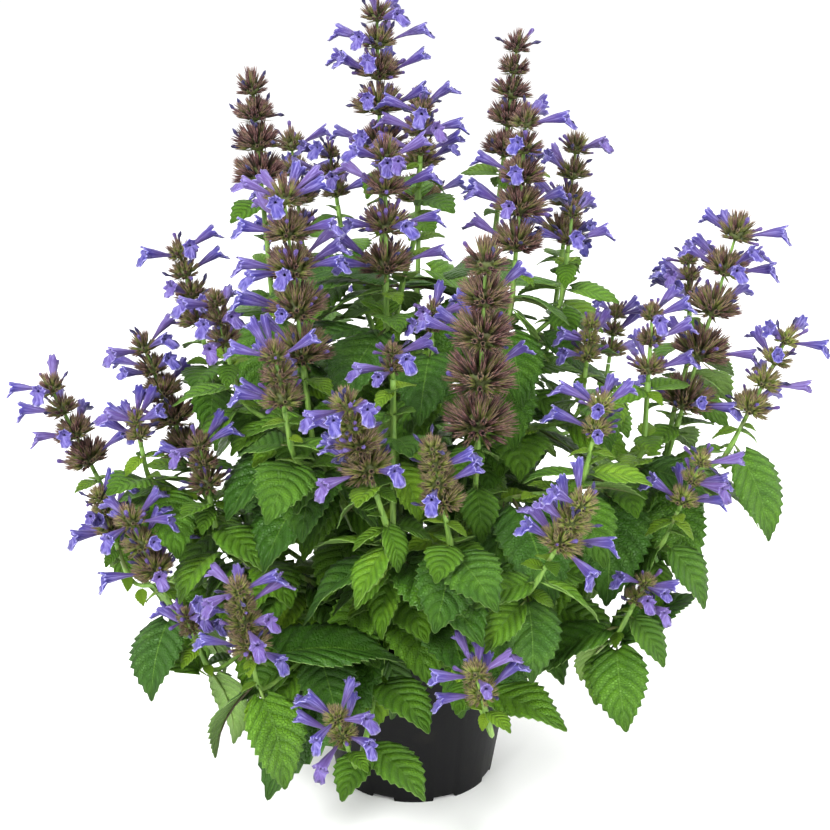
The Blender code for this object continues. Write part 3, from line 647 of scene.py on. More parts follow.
print(len(LEAF_TRIES), "places to try for each leaf")

# %% Leaves set one by one
SET_LEAVES = [
    ("low_left", 140, -95, -134, 47),
    ("left_drooping", 158, -188, -98, 130),
    ("left_brown", 215, -89, -115, 199),
    ("tall_left", 262, -76, -50, 187),
    ("low_left", 154, 2, -150, 138),
    ("low_front_left", 95, 9, -172, 73),
    ("low_front_left", 92, -44, -176, 75),
    ("mid_front", 158, -10, -105, 76),
    ("front", 150, 30, -118, 98),
    ("left_brown", 150, -61, -105, 98),
    ("mid_right", 152, 62, -110, 106),
    ("front", 198, 24, -125, 150),
    ("low_right", 158, 67, -115, 126),
    ("low_right", 148, 97, -100, 112),
    ("low_front_right", 122, 95, -160, 115),
    ("low_right", 168, 155, -130, 141),
    ("low_right", 174, 191, -95, 166),
    ("far_right_side", 251, 230, -55, 191),
    ("front_right", 252, 95, -115, 253),
    ("left_side", 292, -129, -45, 260),
    ("front_right", 235, 34, -140, 186),
    ("mid_front", 246, -8, -150, 214),
    ("mid_right", 300, 130, -75, 251),
    ("left_outer_low", 232, -184, -105, 204),
    ("low_front_left", 120, 11, -150, 107),
    ("low_front_left", 124, -43, -125, 98),
    ("low_front_right", 134, 30, -118, 98),
    ("mid_front", 205, -37, -125, 178),
    ("front_left", 190, -58, -85, 164),
    ("centre_low", 322, 25, -105, 290),
    ("mid_inner", 285, -1, -165, 295),
    ("centre", 330, -25, -95, 292),
]
BARE_BRANCHES = ("low_front_left", "low_front_right")
print(len(SET_LEAVES), "leaves set by hand")

# %% Where the pairs of leaves are
def leaf_nodes(line, is_leader):
    """(point, drop from the line's top) of each pair of leaves, from the top down."""
    spans = [(high - low).length for low, high in zip(line, line[1:])]
    drop = BRACT_DROP if is_leader else FIRST_LEAF_DROP
    lowest = LOWEST_LEAF if is_leader else LOWEST_SIDE_LEAF
    nodes = []
    while drop < sum(spans) - lowest:
        along = sum(spans) - drop
        i = 0
        while i < len(spans) - 1 and along > spans[i]:
            along -= spans[i]
            i += 1
        point = line[i].lerp(line[i + 1], along / spans[i])
        nodes.append((point, drop))
        drop += (LEAF_STEP if is_leader else SIDE_LEAF_STEP) + STEP_WITH_SIZE * leaf_size(point, drop)
    return nodes


def lowness(point):
    return max(0, (LOW_ZONE - point.z) / LOW_ZONE_DEPTH)


def leaf_size(point, drop):
    """A leaf's size as a share of the largest: small under a head, larger down the stem and near the soil."""
    return min(1, SMALLEST_LEAF + drop / FULL_SIZE_DROP + LOW_LEAF_GROWTH * lowness(point))


print(len(leaf_nodes(stems["centre"][0][1], True)), "pairs of leaves along the middle leader")

# %% Leaf places to try
def places_near(root, azimuth, pitch, roll, length, bend):
    """The places to try for a leaf: root, azimuth, pitch, roll, length and bend of each."""
    return [
        (root, azimuth + swing, pitch + dip, roll, length * shrink, bend)
        for swing, dip, shrink in LEAF_TRIES
    ]


def set_leaf_choices(stem):
    """As leaf_choices, for the listed leaves."""
    choices = []
    for number, (owner, height, *tip) in enumerate(SET_LEAVES):
        for line in [line for head, line, _ in stem if head[0] == owner]:
            root = point_at_height(line, height * MM)
            reach = Vector(tip) * MM - root
            azimuth = math.degrees(math.atan2(reach.y, reach.x))
            pitch = math.degrees(math.asin(reach.z / reach.length) + SET_LEAF_BEND / 2)
            places = places_near(root, azimuth, pitch, 0, reach.length, SET_LEAF_BEND)
            choices.append((owner + "_line", f"set_leaf_{number}", places))
    return choices


def leaf_choices(stem):
    """For each leaf of a planned stem: its line's owner, its pair and the places to try for it.

    Leaves stand in crossed pairs. Those in front that would point into the plant's middle are left out.
    """
    choices = []
    for head, line, _ in stem:
        if head[0] in BARE_BRANCHES:
            continue
        is_leader = head is stem[0][0]
        draw = random.Random(head[0] + "_leaves")
        turn = draw.uniform(0, 180)
        for step, (point, drop) in enumerate(leaf_nodes(line, is_leader)):
            size = leaf_size(point, drop)
            length = size * (LEAF_LENGTH if is_leader else SIDE_LEAF_LENGTH)
            spread = min(1, point.xy.length / HIDDEN_RADIUS)
            sag = LEAF_DROOP * size * spread + LOW_LEAF_DROOP * lowness(point)
            away = math.atan2(point.y - HIDDEN_CENTRE_Y, point.x)
            for side in (0, 180):
                azimuth = turn + 90 * step + side + draw.uniform(-AZIMUTH_SPREAD, AZIMUTH_SPREAD)
                pitch = LEAF_RISE - sag + draw.uniform(-PITCH_SPREAD, PITCH_SPREAD)
                roll = draw.uniform(-ROLL_SPREAD, ROLL_SPREAD)
                bend = (LEAST_BEND + BEND_WITH_SIZE * size) * draw.uniform(0.8, 1.2)
                reach = length * draw.uniform(0.88, 1.1)
                faces_in = math.cos(math.radians(azimuth) - away) < FACING_OUT
                is_hidden = point.xy.length < HIDDEN_RADIUS and point.y < HIDDEN_BACK_Y
                if faces_in and is_hidden and drop > FIRST_LEAF_DROP:
                    continue
                places = places_near(point, azimuth, pitch, roll, reach, bend)
                choices.append((head[0] + "_line", f"{head[0]}_pair_{step}", places))
    return choices


print(len(leaf_choices(stems["centre"])), "leaves to place on the middle stem")

# %% A leaf's own shape
def leaf_frame(place):
    """The leaf's own axes: +Y along it, +Z out of its upper face. Its root is sunk in the stem."""
    root, azimuth, pitch, roll = place[:4]
    return (
        Matrix.Translation(root)
        @ turned_z(math.radians(azimuth - 90))
        @ Matrix.Rotation(math.radians(pitch), 4, "X")
        @ Matrix.Rotation(math.radians(roll), 4, "Y")
        @ Matrix.Translation((0, -ROOT_SINK, 0))
    )


def blade_point(t, across, lift, length, bend):
    """A point of the arched blade: t along the midrib, across it, and lifted off it."""
    angle = bend * t
    along = Vector((0, math.sin(angle), math.cos(angle) - 1)) / bend * length
    normal = Vector((0, math.sin(angle), math.cos(angle)))
    return along + Vector((across, 0, 0)) + normal * lift


def half_width(t, length):
    """Half the blade's width at t: an egg shape, widest below its middle."""
    u = (t - PETIOLE_SHARE) / (1 - PETIOLE_SHARE)
    return LEAF_WIDTH_SHARE / 2 * length * WIDTH_SCALE * u**FOOT_ROUNDING * (1 - u) ** TIP_TAPER


def blade_edge(length):
    """(t, half width) round one side of the leaf: petiole, heart-shaped foot and teeth."""
    teeth = 3 if length > TOOTHED_LENGTH else 2
    edge = [(0, 0), (PETIOLE_SHARE, PETIOLE_HALF_WIDTH)][: teeth - 1]
    foot = PETIOLE_SHARE + 0.05
    edge.append((foot, 0.75 * half_width(foot + 0.03, length)))
    for k in range(teeth):
        valley = PETIOLE_SHARE + (1 - PETIOLE_SHARE) * (k + 0.12) / (teeth + 0.15)
        point = PETIOLE_SHARE + (1 - PETIOLE_SHARE) * (k + 0.72) / (teeth + 0.15)
        if k > 0:
            edge.append((valley, 0.9 * half_width(valley, length)))
        edge.append((point, 1.08 * half_width(point, length)))
    return edge


def make_leaf(place, grow=0.0):
    """An arched blade, folded along its midrib and thinned to its toothed edge: a loft from rib to edge."""
    length, bend = place[4] + grow, place[5]
    edge = blade_edge(length)
    bm = bmesh.new()
    root = bm.verts.new(blade_point(0, 0, 0, length, bend))
    tip = bm.verts.new(blade_point(1, 0, 0, length, bend))
    rib = bm.verts.new(blade_point(RIB_MIDDLE, 0, grow, length, bend))
    keel = bm.verts.new(blade_point(RIB_MIDDLE, 0, -BLADE_THICKNESS - grow, length, bend))
    for side in (1, -1):
        rim = [
            bm.verts.new(blade_point(t, side * (width + grow), width * BLADE_FOLD, length, bend))
            for t, width in edge[1:]
        ]
        rim = [root] + rim + [tip]
        for near, far in zip(rim, rim[1:]):
            bm.faces.new((rib, far, near))
            bm.faces.new((keel, far, near))
    bmesh.ops.recalc_face_normals(bm, faces=bm.faces)
    bm.transform(leaf_frame(place))
    return bm


def height_above_outline(point):
    """How far a point is above the plant's lower outline, which rises to both sides and to the back."""
    return point.z - LOWEST_TIP - max(0, math.hypot(point.x, max(0, point.y)) - OUTLINE_RADIUS)


print("widest leaf:", round(2 * half_width(0.5, LEAF_LENGTH) * 1000), "mm")

# %% Place the leaves
def plan_leaves(choices, room):
    """The first place of each leaf that is clear of everything but its own stem and its pair."""
    planned = []
    for own_line, pair, places in choices:
        for place in places:
            guard = make_leaf(place, CLEARANCE)
            is_high = min(height_above_outline(v.co) for v in guard.verts) > 0
            if is_high and not room.met_by(guard, (own_line, pair)):
                room.add(guard, pair)
                planned.append(place)
                break
            guard.free()
    return planned


leaves = {name: plan_leaves(set_leaf_choices(stem), room) for name, stem in stems.items()}
for name, stem in stems.items():
    leaves[name] += plan_leaves(leaf_choices(stem), room)
print(sum(map(len, leaves.values())), "leaves placed")

# %% [markdown]
# ## Leaves that close the plant
# Low down the real plant is so full of leaves that its stems hardly show. The planned ones are the largest.
# The rest could be scattered over the surface, but then they would hang in the air, so they too grow from
# the stems: each is tried in many random directions, turned outwards and down towards the light, and is
# left out where the room is taken.

# %% Leaves that close the plant
CLOSING_SPACING = 11.5 * MM
CLOSING_SIZES = (36, 66)
CLOSING_TOP = 350 * MM
CLOSING_BELOW_HEAD = 30 * MM
CLOSING_ABOVE_POT = 8 * MM
SPACING_SPREAD = (0.7, 1.3)
CLOSING_HABIT = {
    "tries": 22,
    "turns": (-115, 115),
    "pitches": (-55, 15),
    "rolls": (-25, 25),
    "bends": (0.5, 1.1),
    "shrink": 0.97,
}


def points_along(line, spacing, draw):
    """Points at about equal distances along a line, each with what is left of the line above it."""
    spans = [(high - low).length for low, high in zip(line, line[1:])]
    along = spacing
    while along < sum(spans):
        here, i = along, 0
        while here > spans[i]:
            here -= spans[i]
            i += 1
        yield line[i].lerp(line[i + 1], here / spans[i]), sum(spans) - along
        along += spacing * draw.uniform(*SPACING_SPREAD)


def random_places(point, size, away, dip, habit, draw):
    """Places to try for a leaf, turned by chance within its habit."""
    places = []
    for _ in range(habit["tries"]):
        azimuth = away + draw.uniform(*habit["turns"])
        pitch = draw.uniform(*habit["pitches"]) - dip
        roll = draw.uniform(*habit["rolls"])
        places.append((point, azimuth, pitch, roll, size, draw.uniform(*habit["bends"])))
        size *= habit["shrink"]
    return places


def closing_leaf_choices(stem):
    choices = []
    for head, line, _ in stem:
        draw = random.Random(head[0] + "_closing_leaves")
        for point, left in points_along(line, CLOSING_SPACING, draw):
            size = draw.uniform(*CLOSING_SIZES) * MM
            away = math.degrees(math.atan2(point.y, point.x))
            places = random_places(point, size, away, 0, CLOSING_HABIT, draw)
            is_between = POT_HEIGHT + CLOSING_ABOVE_POT < point.z < CLOSING_TOP
            if is_between and left > CLOSING_BELOW_HEAD:
                choices.append((head[0] + "_line", f"closing_{head[0]}_{len(choices)}", places))
    return choices


closing = {name: plan_leaves(closing_leaf_choices(stem), room) for name, stem in stems.items()}
print(sum(map(len, closing.values())), "closing leaves placed")

# %% [markdown]
# ## Young leaves
# There is a pair of small leaves under each head, and young ones in the corners of the leaf pairs all along
# the stems. They are too many for the solid model. Each is tried in several random directions, as the
# others are.

# %% Young leaves
YOUNG_LEAF_SPACING = 16 * MM
YOUNG_HABIT = {
    "tries": 9,
    "turns": (0, 360),
    "pitches": (-5, 45),
    "rolls": (-20, 20),
    "bends": (0.5, 1),
    "shrink": 1,
}
YOUNG_DROOP = 40
YOUNG_SIZE = 13 * MM
YOUNG_GROWTH = 0.18
YOUNG_GROWTH_END = 200 * MM
PAIR_DROP = 7 * MM
PAIR_SIZES = (15, 25)
PAIR_PITCHES = (-15, 20)
PAIR_BEND = 0.8
PAIR_SWINGS = (0, 35, -35, 70, -70)


def head_pair_choices(head, line, draw):
    """The two small leaves close under a head."""
    point = line[-1] + (line[-2] - line[-1]).normalized() * PAIR_DROP
    start = draw.uniform(0, 180)
    for side in (0, 180):
        size = draw.uniform(*PAIR_SIZES) * MM
        pitch = draw.uniform(*PAIR_PITCHES)
        places = [(point, start + side + swing, pitch, 0, size, PAIR_BEND) for swing in PAIR_SWINGS]
        yield head[0] + "_line", "young", places


def young_leaf_choices(stem):
    """Random places for young leaves along a stem's lines, smaller towards a head."""
    choices = []
    for head, line, _ in stem:
        draw = random.Random(head[0] + "_young_leaves")
        choices += head_pair_choices(head, line, draw)
        for point, left in points_along(line, YOUNG_LEAF_SPACING, draw):
            full_size = YOUNG_SIZE + YOUNG_GROWTH * min(left, YOUNG_GROWTH_END)
            size = draw.uniform(0.6, 1.1) * full_size
            places = random_places(point, size, 0, YOUNG_DROOP * lowness(point), YOUNG_HABIT, draw)
            if point.z > POT_HEIGHT:
                choices.append((head[0] + "_line", "young", places))
    return choices


young = {name: plan_leaves(young_leaf_choices(stem), room) for name, stem in stems.items()}
print(sum(map(len, young.values())), "young leaves placed")

# %% [markdown]
# ## Shader tools
# Every material is built from nodes, with its constants on the shader's own sockets. Patterns read either
# the object's own coordinates, for grain and mottling, or the map that each rolled or bent sheet carries
# along it: across from 0 to 1, and along from root to tip. A tint stored at each point tells one leaf or
# flower from the next.

# %% Shader tools
def new_finish(name, roughness, **sockets):
    """A material, with its node tree and its shader."""
    material = bpy.data.materials.new(name)
    material.use_nodes = True
    tree = material.node_tree
    shader = tree.nodes["Principled BSDF"]
    shader.inputs["Roughness"].default_value = roughness
    for socket, value in sockets.items():
        shader.inputs[socket.replace("_", " ")].default_value = value
    return material, tree, shader


def add(tree, kind, inputs, **settings):
    """Adds a node, with links for sockets and plain values for the rest."""
    made = tree.nodes.new("ShaderNode" + kind)
    for name, value in settings.items():
        setattr(made, name, value)
    for name, value in inputs.items():
        if isinstance(value, bpy.types.NodeSocket):
            tree.links.new(value, made.inputs[name])
        else:
            made.inputs[name].default_value = value
    return made


def calc(tree, operation, first, second=0.0, third=0.5):
    return add(tree, "Math", {0: first, 1: second, 2: third}, operation=operation).outputs[0]


def capped(tree, value, slope):
    """A value that rises from 0 with a slope and stays at 1."""
    return calc(tree, "MINIMUM", calc(tree, "MULTIPLY", value, slope), 1.0)


def centred(tree, pattern, amount):
    """A pattern between 0 and 1, brought to swing about 0."""
    return calc(tree, "MULTIPLY", calc(tree, "SUBTRACT", pattern, 0.5), amount)


def colours(tree, factor, stops):
    """A colour ramp: (place, (red, green, blue)) for each stop."""
    ramp = add(tree, "ValToRGB", {0: factor})
    elements = ramp.color_ramp.elements
    while len(elements) < len(stops):
        elements.new(0.5)
    for element, (place, colour) in zip(elements, stops):
        element.position = place
        element.color = (*colour, 1)
    return ramp.outputs[0]


def blend(tree, factor, first, second):
    return add(tree, "Mix", {0: factor, 6: first, 7: second}, data_type="RGBA").outputs[2]


print("colour tools ready")

# %% Pattern tools
def own_place(tree):
    return add(tree, "TexCoord", {}).outputs["Object"]


def sheet_map(tree):
    return add(tree, "UVMap", {}, uv_map="sheet").outputs[0]


def stretched(tree, place, scale):
    return add(tree, "Mapping", {"Vector": place, "Scale": scale}).outputs[0]


def summed(tree, first, second):
    return add(tree, "VectorMath", {0: first, 1: second}, operation="ADD").outputs[0]


def grain(tree, scale, detail=3.0, place=None):
    """Noise, on the object's own coordinates unless a place is given."""
    inputs = {"Vector": place or own_place(tree), "Scale": scale, "Detail": detail}
    return add(tree, "TexNoise", inputs).outputs[0]


def across_and_along(tree):
    """The two directions of the sheet's own map."""
    parts = add(tree, "SeparateXYZ", {0: sheet_map(tree)})
    return parts.outputs[0], parts.outputs[1]


def tint_of(tree):
    return add(tree, "Attribute", {}, attribute_name="tint").outputs["Fac"]


def roughen(tree, shader, height, distance, strength=1.0):
    bump = add(tree, "Bump", {"Height": height, "Distance": distance, "Strength": strength})
    tree.links.new(bump.outputs[0], shader.inputs["Normal"])


print("pattern tools ready")

# %% [markdown]
# ## Leaf green
# A catmint leaf is quilted: it swells between its sunken veins. The main side veins curve out to the teeth,
# with a fine net between them. The upper side is a deep green that varies from leaf to leaf, brighter and
# more yellow when young, and the underside is paler and greyer with raised veins.

# %% Leaf finish
VEINS = 7
VEIN_SLOPE = 1.9
VEIN_CURVE = 1.15
NET_CELLS = (16, 34, 1)
RIB_SHARPNESS = 26.0
LEAF_SHINE = 0.27


def leaf_finish(name, dark, middle, young, vein, rib_colour, roughness):
    material, tree, shader = new_finish(name, roughness, Specular_IOR_Level=LEAF_SHINE)
    across, along = across_and_along(tree)
    half = calc(tree, "SUBTRACT", calc(tree, "MULTIPLY", across, 2.0), 1.0)
    out = calc(tree, "ABSOLUTE", half)
    lag = calc(tree, "MULTIPLY", calc(tree, "POWER", out, VEIN_CURVE), VEIN_SLOPE)
    phase = calc(tree, "SUBTRACT", calc(tree, "MULTIPLY", along, float(VEINS)), lag)
    swell = calc(tree, "ABSOLUTE", calc(tree, "SINE", calc(tree, "MULTIPLY", phase, math.pi)))
    quilt = calc(tree, "POWER", swell, 0.32)
    place = summed(tree, stretched(tree, sheet_map(tree), NET_CELLS), grain(tree, 260.0))
    net = add(tree, "TexVoronoi", {"Vector": place, "Scale": 1.0}, feature="DISTANCE_TO_EDGE").outputs[0]
    net = capped(tree, net, 5.0)
    shade = calc(tree, "ADD", tint_of(tree), centred(tree, grain(tree, 70.0, 4.0), 0.5))
    body = colours(tree, shade, [(0.0, dark), (0.5, middle), (1.0, young)])
    veins = calc(tree, "MULTIPLY", quilt, capped(tree, out, 18.0))
    lit = calc(tree, "MULTIPLY_ADD", net, 0.45, 0.55)
    line = calc(tree, "SUBTRACT", 1.0, calc(tree, "MULTIPLY", veins, lit))
    strength = calc(tree, "MULTIPLY_ADD", tint_of(tree), -0.55, 0.97)
    colour = blend(tree, calc(tree, "MULTIPLY", line, strength), body, (*vein, 1))
    middle_line = calc(tree, "SUBTRACT", 1.0, capped(tree, out, RIB_SHARPNESS))
    colour = blend(tree, calc(tree, "MULTIPLY", middle_line, 0.6), colour, (*rib_colour, 1))
    tree.links.new(colour, shader.inputs["Base Color"])
    relief = calc(tree, "MULTIPLY_ADD", tint_of(tree), -0.4, 0.68)
    height = calc(tree, "ADD", calc(tree, "MULTIPLY", swell, relief), calc(tree, "MULTIPLY", net, 0.18))
    height = calc(tree, "ADD", height, calc(tree, "MULTIPLY", grain(tree, 900.0), 0.15))
    roughen(tree, shader, height, 0.003, 1.0)
    return material


leaf_top = leaf_finish(
    "leaf_upper_side",
    dark=(0.034, 0.106, 0.009),
    middle=(0.124, 0.286, 0.013),
    young=(0.36, 0.58, 0.030),
    vein=(0.026, 0.082, 0.006),
    rib_colour=(0.15, 0.31, 0.04),
    roughness=0.42,
)
leaf_back = leaf_finish(
    "leaf_underside",
    dark=(0.10, 0.20, 0.04),
    middle=(0.15, 0.28, 0.05),
    young=(0.26, 0.42, 0.06),
    vein=(0.24, 0.37, 0.10),
    rib_colour=(0.28, 0.42, 0.12),
    roughness=0.7,
)
print(len(leaf_top.node_tree.nodes), "nodes in the leaf's finish")

# %% [markdown]
# ## Stem green
# The stems are square with shallow grooves, bright green where they are young and flushed with purple here
# and there, with a short down that dulls their shine. A low tint darkens the same finish to a dark
# brown-green on the small cups inside the whorls: painted shade for the hollow at each whorl's heart.

# %% Stem finish
def stem_finish():
    material, tree, shader = new_finish("stem_green", 0.55, Specular_IOR_Level=0.35)
    streak = grain(tree, 500.0, 4.0, stretched(tree, own_place(tree), (1, 1, 0.15)))
    flush = grain(tree, 45.0)
    green = colours(tree, streak, [(0.3, (0.09, 0.19, 0.03)), (0.7, (0.20, 0.34, 0.06))])
    amount = calc(tree, "MULTIPLY", calc(tree, "GREATER_THAN", flush, 0.62), 0.35)
    flushed = blend(tree, amount, green, (0.13, 0.06, 0.05, 1))
    # A tint below 0.5 darkens the green to a dark brown-green: painted shade, used on the whorls' cups.
    low = calc(tree, "MAXIMUM", calc(tree, "SUBTRACT", 0.5, tint_of(tree)), 0.0)
    shaded_cup_colour = blend(tree, calc(tree, "MULTIPLY", low, 2.0), flushed, (0.050, 0.042, 0.014, 1))
    tree.links.new(shaded_cup_colour, shader.inputs["Base Color"])
    roughen(tree, shader, streak, 0.0004, 0.6)
    return material


stem_green = stem_finish()
print(len(stem_green.node_tree.nodes), "nodes in the stem's finish")

# %% [markdown]
# ## Calyx brown and green
# A calyx is a ribbed tube that ends in five stiff points. It is green at its base and turns brown-purple
# towards the teeth, whose tips are pale and dry. Young heads are green nearly all over, old ones brown, so
# the tint of each calyx says how ripe it is. Past the rim, where the sheet turns back in to close the
# throat, both ramps fall to near black: painted shade inside the calyx's mouth.

# %% Calyx finish
CALYX_RIBS = 15
# The last two stops of each ramp, on the sheet that turns in past the rim, are painted shade inside the
# mouth.
RIPE_STOPS = [
    (0.0, (0.069, 0.080, 0.013)),
    (0.26, (0.045, 0.032, 0.010)),
    (0.45, (0.031, 0.011, 0.008)),
    (0.6, (0.058, 0.014, 0.015)),
    (0.7, (0.33, 0.16, 0.14)),
    (0.76, (0.021, 0.008, 0.009)),
    (0.95, (0.010, 0.005, 0.006)),
]
GREEN_STOPS = [
    (0.0, (0.180, 0.279, 0.030)),
    (0.26, (0.261, 0.360, 0.042)),
    (0.45, (0.306, 0.378, 0.067)),
    (0.6, (0.225, 0.180, 0.067)),
    (0.7, (0.378, 0.279, 0.143)),
    (0.76, (0.063, 0.065, 0.017)),
    (0.95, (0.018, 0.022, 0.007)),
]


def calyx_finish():
    material, tree, shader = new_finish("calyx", 0.6, Specular_IOR_Level=0.35, Sheen_Weight=0.04)
    across, along = across_and_along(tree)
    speckle = grain(tree, 700.0)
    place = calc(tree, "ADD", along, centred(tree, speckle, 0.12))
    ripeness = calc(tree, "ADD", tint_of(tree), centred(tree, speckle, 0.5))
    colour = blend(tree, ripeness, colours(tree, place, GREEN_STOPS), colours(tree, place, RIPE_STOPS))
    tree.nodes[-1].clamp_factor = True
    tree.links.new(colour, shader.inputs["Base Color"])
    ribs = calc(tree, "SINE", calc(tree, "MULTIPLY", across, CALYX_RIBS * math.tau))
    roughen(tree, shader, calc(tree, "ADD", ribs, speckle), 0.0003, 0.7)
    return material


calyx_brown = calyx_finish()
print(len(calyx_brown.node_tree.nodes), "nodes in the calyx's finish")

# %% [markdown]
# ## Petal violet
# The corolla is a pinkish purple in its narrow tube and violet-blue on its lips, with darker veins that run
# into the throat and paler streaks along it. The lobes' rims are paler, and their pale band is brightened
# further as a painted highlight. Unopened buds are a deeper purple, and a spent corolla shrivels to a
# blackish blue.

# %% Petal finishes
PETAL_VEINS = 22
PETAL_STREAKS = (18, 3, 1)
STREAK_SHIFT = (60, 60, 60)
VEIN_VIOLET = (0.030, 0.020, 0.20, 1)
PALE_VIOLET = (0.38, 0.34, 0.72, 1)


def petal_finish(name, stops, pink, roughness):
    material, tree, shader = new_finish(name, roughness, Specular_IOR_Level=0.3, Sheen_Weight=0.05)
    across, along = across_and_along(tree)
    base = colours(tree, along, stops)
    colour = blend(tree, calc(tree, "MULTIPLY", tint_of(tree), 0.7), base, (*pink, 1))
    lines = calc(tree, "SINE", calc(tree, "MULTIPLY", across, PETAL_VEINS * math.tau))
    streak = calc(tree, "MULTIPLY", calc(tree, "GREATER_THAN", lines, 0.5), 0.34)
    colour = blend(tree, streak, colour, VEIN_VIOLET)
    along_petal = stretched(tree, sheet_map(tree), PETAL_STREAKS)
    cloud = grain(tree, 1.0, 3.0, summed(tree, along_petal, stretched(tree, own_place(tree), STREAK_SHIFT)))
    paler = calc(tree, "MULTIPLY", calc(tree, "MAXIMUM", calc(tree, "SUBTRACT", cloud, 0.47), 0.0), 1.5)
    colour = blend(tree, paler, colour, PALE_VIOLET)
    tree.links.new(colour, shader.inputs["Base Color"])
    roughen(tree, shader, calc(tree, "ADD", lines, calc(tree, "MULTIPLY", cloud, 2.0)), 0.0002, 0.6)
    return material


# The stop at 0.636 lies on the lobes' turned-over rims: a paler edge, brightened to a painted highlight.
PETAL_STOPS = [
    (0.0, (0.066, 0.036, 0.112)),
    (0.27, (0.048, 0.026, 0.146)),
    (0.42, (0.028, 0.018, 0.158)),
    (0.56, (0.023, 0.018, 0.178)),
    (0.61, (0.070, 0.062, 0.286)),
    (0.636, (0.48, 0.46, 0.78)),
    (0.67, (0.098, 0.088, 0.356)),
    (0.74, (0.028, 0.022, 0.182)),
    (0.82, (0.160, 0.142, 0.420)),
    (0.91, (0.060, 0.046, 0.210)),
]
BUD_STOPS = [(0.0, (0.064, 0.032, 0.085)), (0.5, (0.072, 0.032, 0.145)), (1.0, (0.080, 0.056, 0.238))]
SPENT_STOPS = [(0.0, (0.016, 0.011, 0.030)), (0.6, (0.007, 0.006, 0.030)), (1.0, (0.011, 0.011, 0.060))]
petal = petal_finish("petal_violet", PETAL_STOPS, (0.148, 0.080, 0.246), 0.5)
bud_purple = petal_finish("bud_purple", BUD_STOPS, (0.104, 0.044, 0.170), 0.55)
spent_navy = petal_finish("spent_petal", SPENT_STOPS, (0.011, 0.006, 0.017), 0.75)
print("petal finishes ready")

# %% [markdown]
# ## Sheets that are rolled
# A calyx, a petal tube, a bud and a stalk are all tubes with a closed foot. Each could be extruded ring by
# ring, but it is simpler to take a flat grid of squares and roll it up: every corner is moved to its place on
# the tube and the two long edges are welded. The grid's own map then runs round and along the tube.

# %% Rolled tubes
WELD_DISTANCE = 1e-6
CALYX_SLOT, PETAL_SLOT, STALK_SLOT, BUD_SLOT, SPENT_SLOT = range(5)
LEAF_TOP_SLOT, LEAF_BACK_SLOT, STEM_SLOT = range(3)


def sheet_bmesh():
    """A new bmesh with a map and a tint."""
    bm = bmesh.new()
    bm.loops.layers.uv.new("sheet")
    bm.verts.layers.float.new("tint")
    return bm


def grid_sheet(columns, rows):
    """A flat sheet of squares from (0, 0) to (1, 1)."""
    bm = sheet_bmesh()
    bmesh.ops.create_grid(bm, x_segments=columns, y_segments=rows, size=0.5, calc_uvs=True)
    bmesh.ops.translate(bm, verts=bm.verts, vec=(0.5, 0.5, 0))
    return bm


def rolled(sides, rows, place):
    """A tube rolled from a sheet. place(angle, row) gives a corner's point."""
    bm = grid_sheet(sides, rows)
    for vert in bm.verts:
        side = round(vert.co.x * sides) % sides
        vert.co = place(side * math.tau / sides, round(vert.co.y * rows))
    bmesh.ops.remove_doubles(bm, verts=bm.verts, dist=WELD_DISTANCE)
    bmesh.ops.recalc_face_normals(bm, faces=bm.faces)
    return bm


def template(bm, name, slot=None):
    """Keeps a shape that will be repeated, as a mesh that isn't in the scene."""
    mesh = bpy.data.meshes.new(name)
    for face in bm.faces:
        face.material_index = face.material_index if slot is None else slot
        face.smooth = True
    bm.to_mesh(mesh)
    bm.free()
    return mesh


def put(bm, mesh, matrix, tint):
    """Adds a placed copy of a kept shape to a growing bmesh."""
    count = len(mesh.vertices)
    mesh.attributes["tint"].data.foreach_set("value", [tint] * count)
    mesh.transform(matrix)
    bm.from_mesh(mesh)
    mesh.transform(matrix.inverted())


def put_once(bm, shape, slot, matrix, tint):
    """The same for a shape that isn't used again."""
    mesh = template(shape, "shape", slot)
    put(bm, mesh, matrix, tint)
    bpy.data.meshes.remove(mesh)


print("sheets ready")

# %% [markdown]
# ## One calyx
# The real calyx is eight to twelve millimetres long and two wide. Its tube widens a little and its rim is
# cut into five long stiff points. Rolled from ten columns, every second corner of the rim is pulled out to
# a point, and the sheet then turns in to close the throat. There are thousands, so each has only three
# rows.

# %% Calyx shape
CALYX_ROWS = [(0, 0), (0.34, 1.0), (0.54, 0.8), (0.42, 0)]
TOOTH_REACH = 1.0
TOOTH_FLARE = 1.08


def calyx_place(angle, row):
    """The foot, the swelling tube, the toothed rim, and the way back in."""
    height, radius = CALYX_ROWS[row]
    is_tooth = round(angle * 5 / math.pi) % 2 == 0
    if row == 2 and is_tooth:
        height, radius = TOOTH_REACH, TOOTH_FLARE
    return around(radius, angle, height)


calyx = template(rolled(10, len(CALYX_ROWS) - 1, calyx_place), "calyx", CALYX_SLOT)
print(len(calyx.polygons), "faces in a calyx")

# %% [markdown]
# ## One flower
# The corolla is a narrow tube that swells into a throat and opens in two lips. The upper lip reaches
# forward in two lobes. The lower one has two small side lobes and a broad ruffled middle one. Twenty-four
# columns give each lobe its own corners. The sheet turns over at the lip, and on its way back the lower lip
# bulges up, which nearly shuts the mouth. Three kinds, from half open to full blown, are enough for a
# natural mixture.

# %% Flower shape
TUBE_ROWS = [(0, 0), (8, 1.05), (13, 1.6), (18, 2.6), (22, 3.4), (25, 3.7)]
LOBES = [
    (29.6, 3.6), (30.6, 4.2), (30.6, 4.8), (29.0, 4.6), (26.8, 3.9), (27.6, 5.4), (28.2, 6.6),
    (27.6, 6.2), (26.6, 4.6), (28.8, 7.2), (29.8, 9.2), (30.4, 10.2), (29.8, 9.6),
]
THROAT_DEPTH = 26.5
THROAT_RADIUS = 1.2
THROAT_END_ROWS = ((22, THROAT_RADIUS), (20, 0))
PALATE_START = 9
PALATE_RADIUS = 0.4
PALATE_BULGE = 2.5
FLOWER_LENGTH = 29
FLOWER_COLUMNS = 24
RUFFLE = 0.55
FLATNESS = 0.14


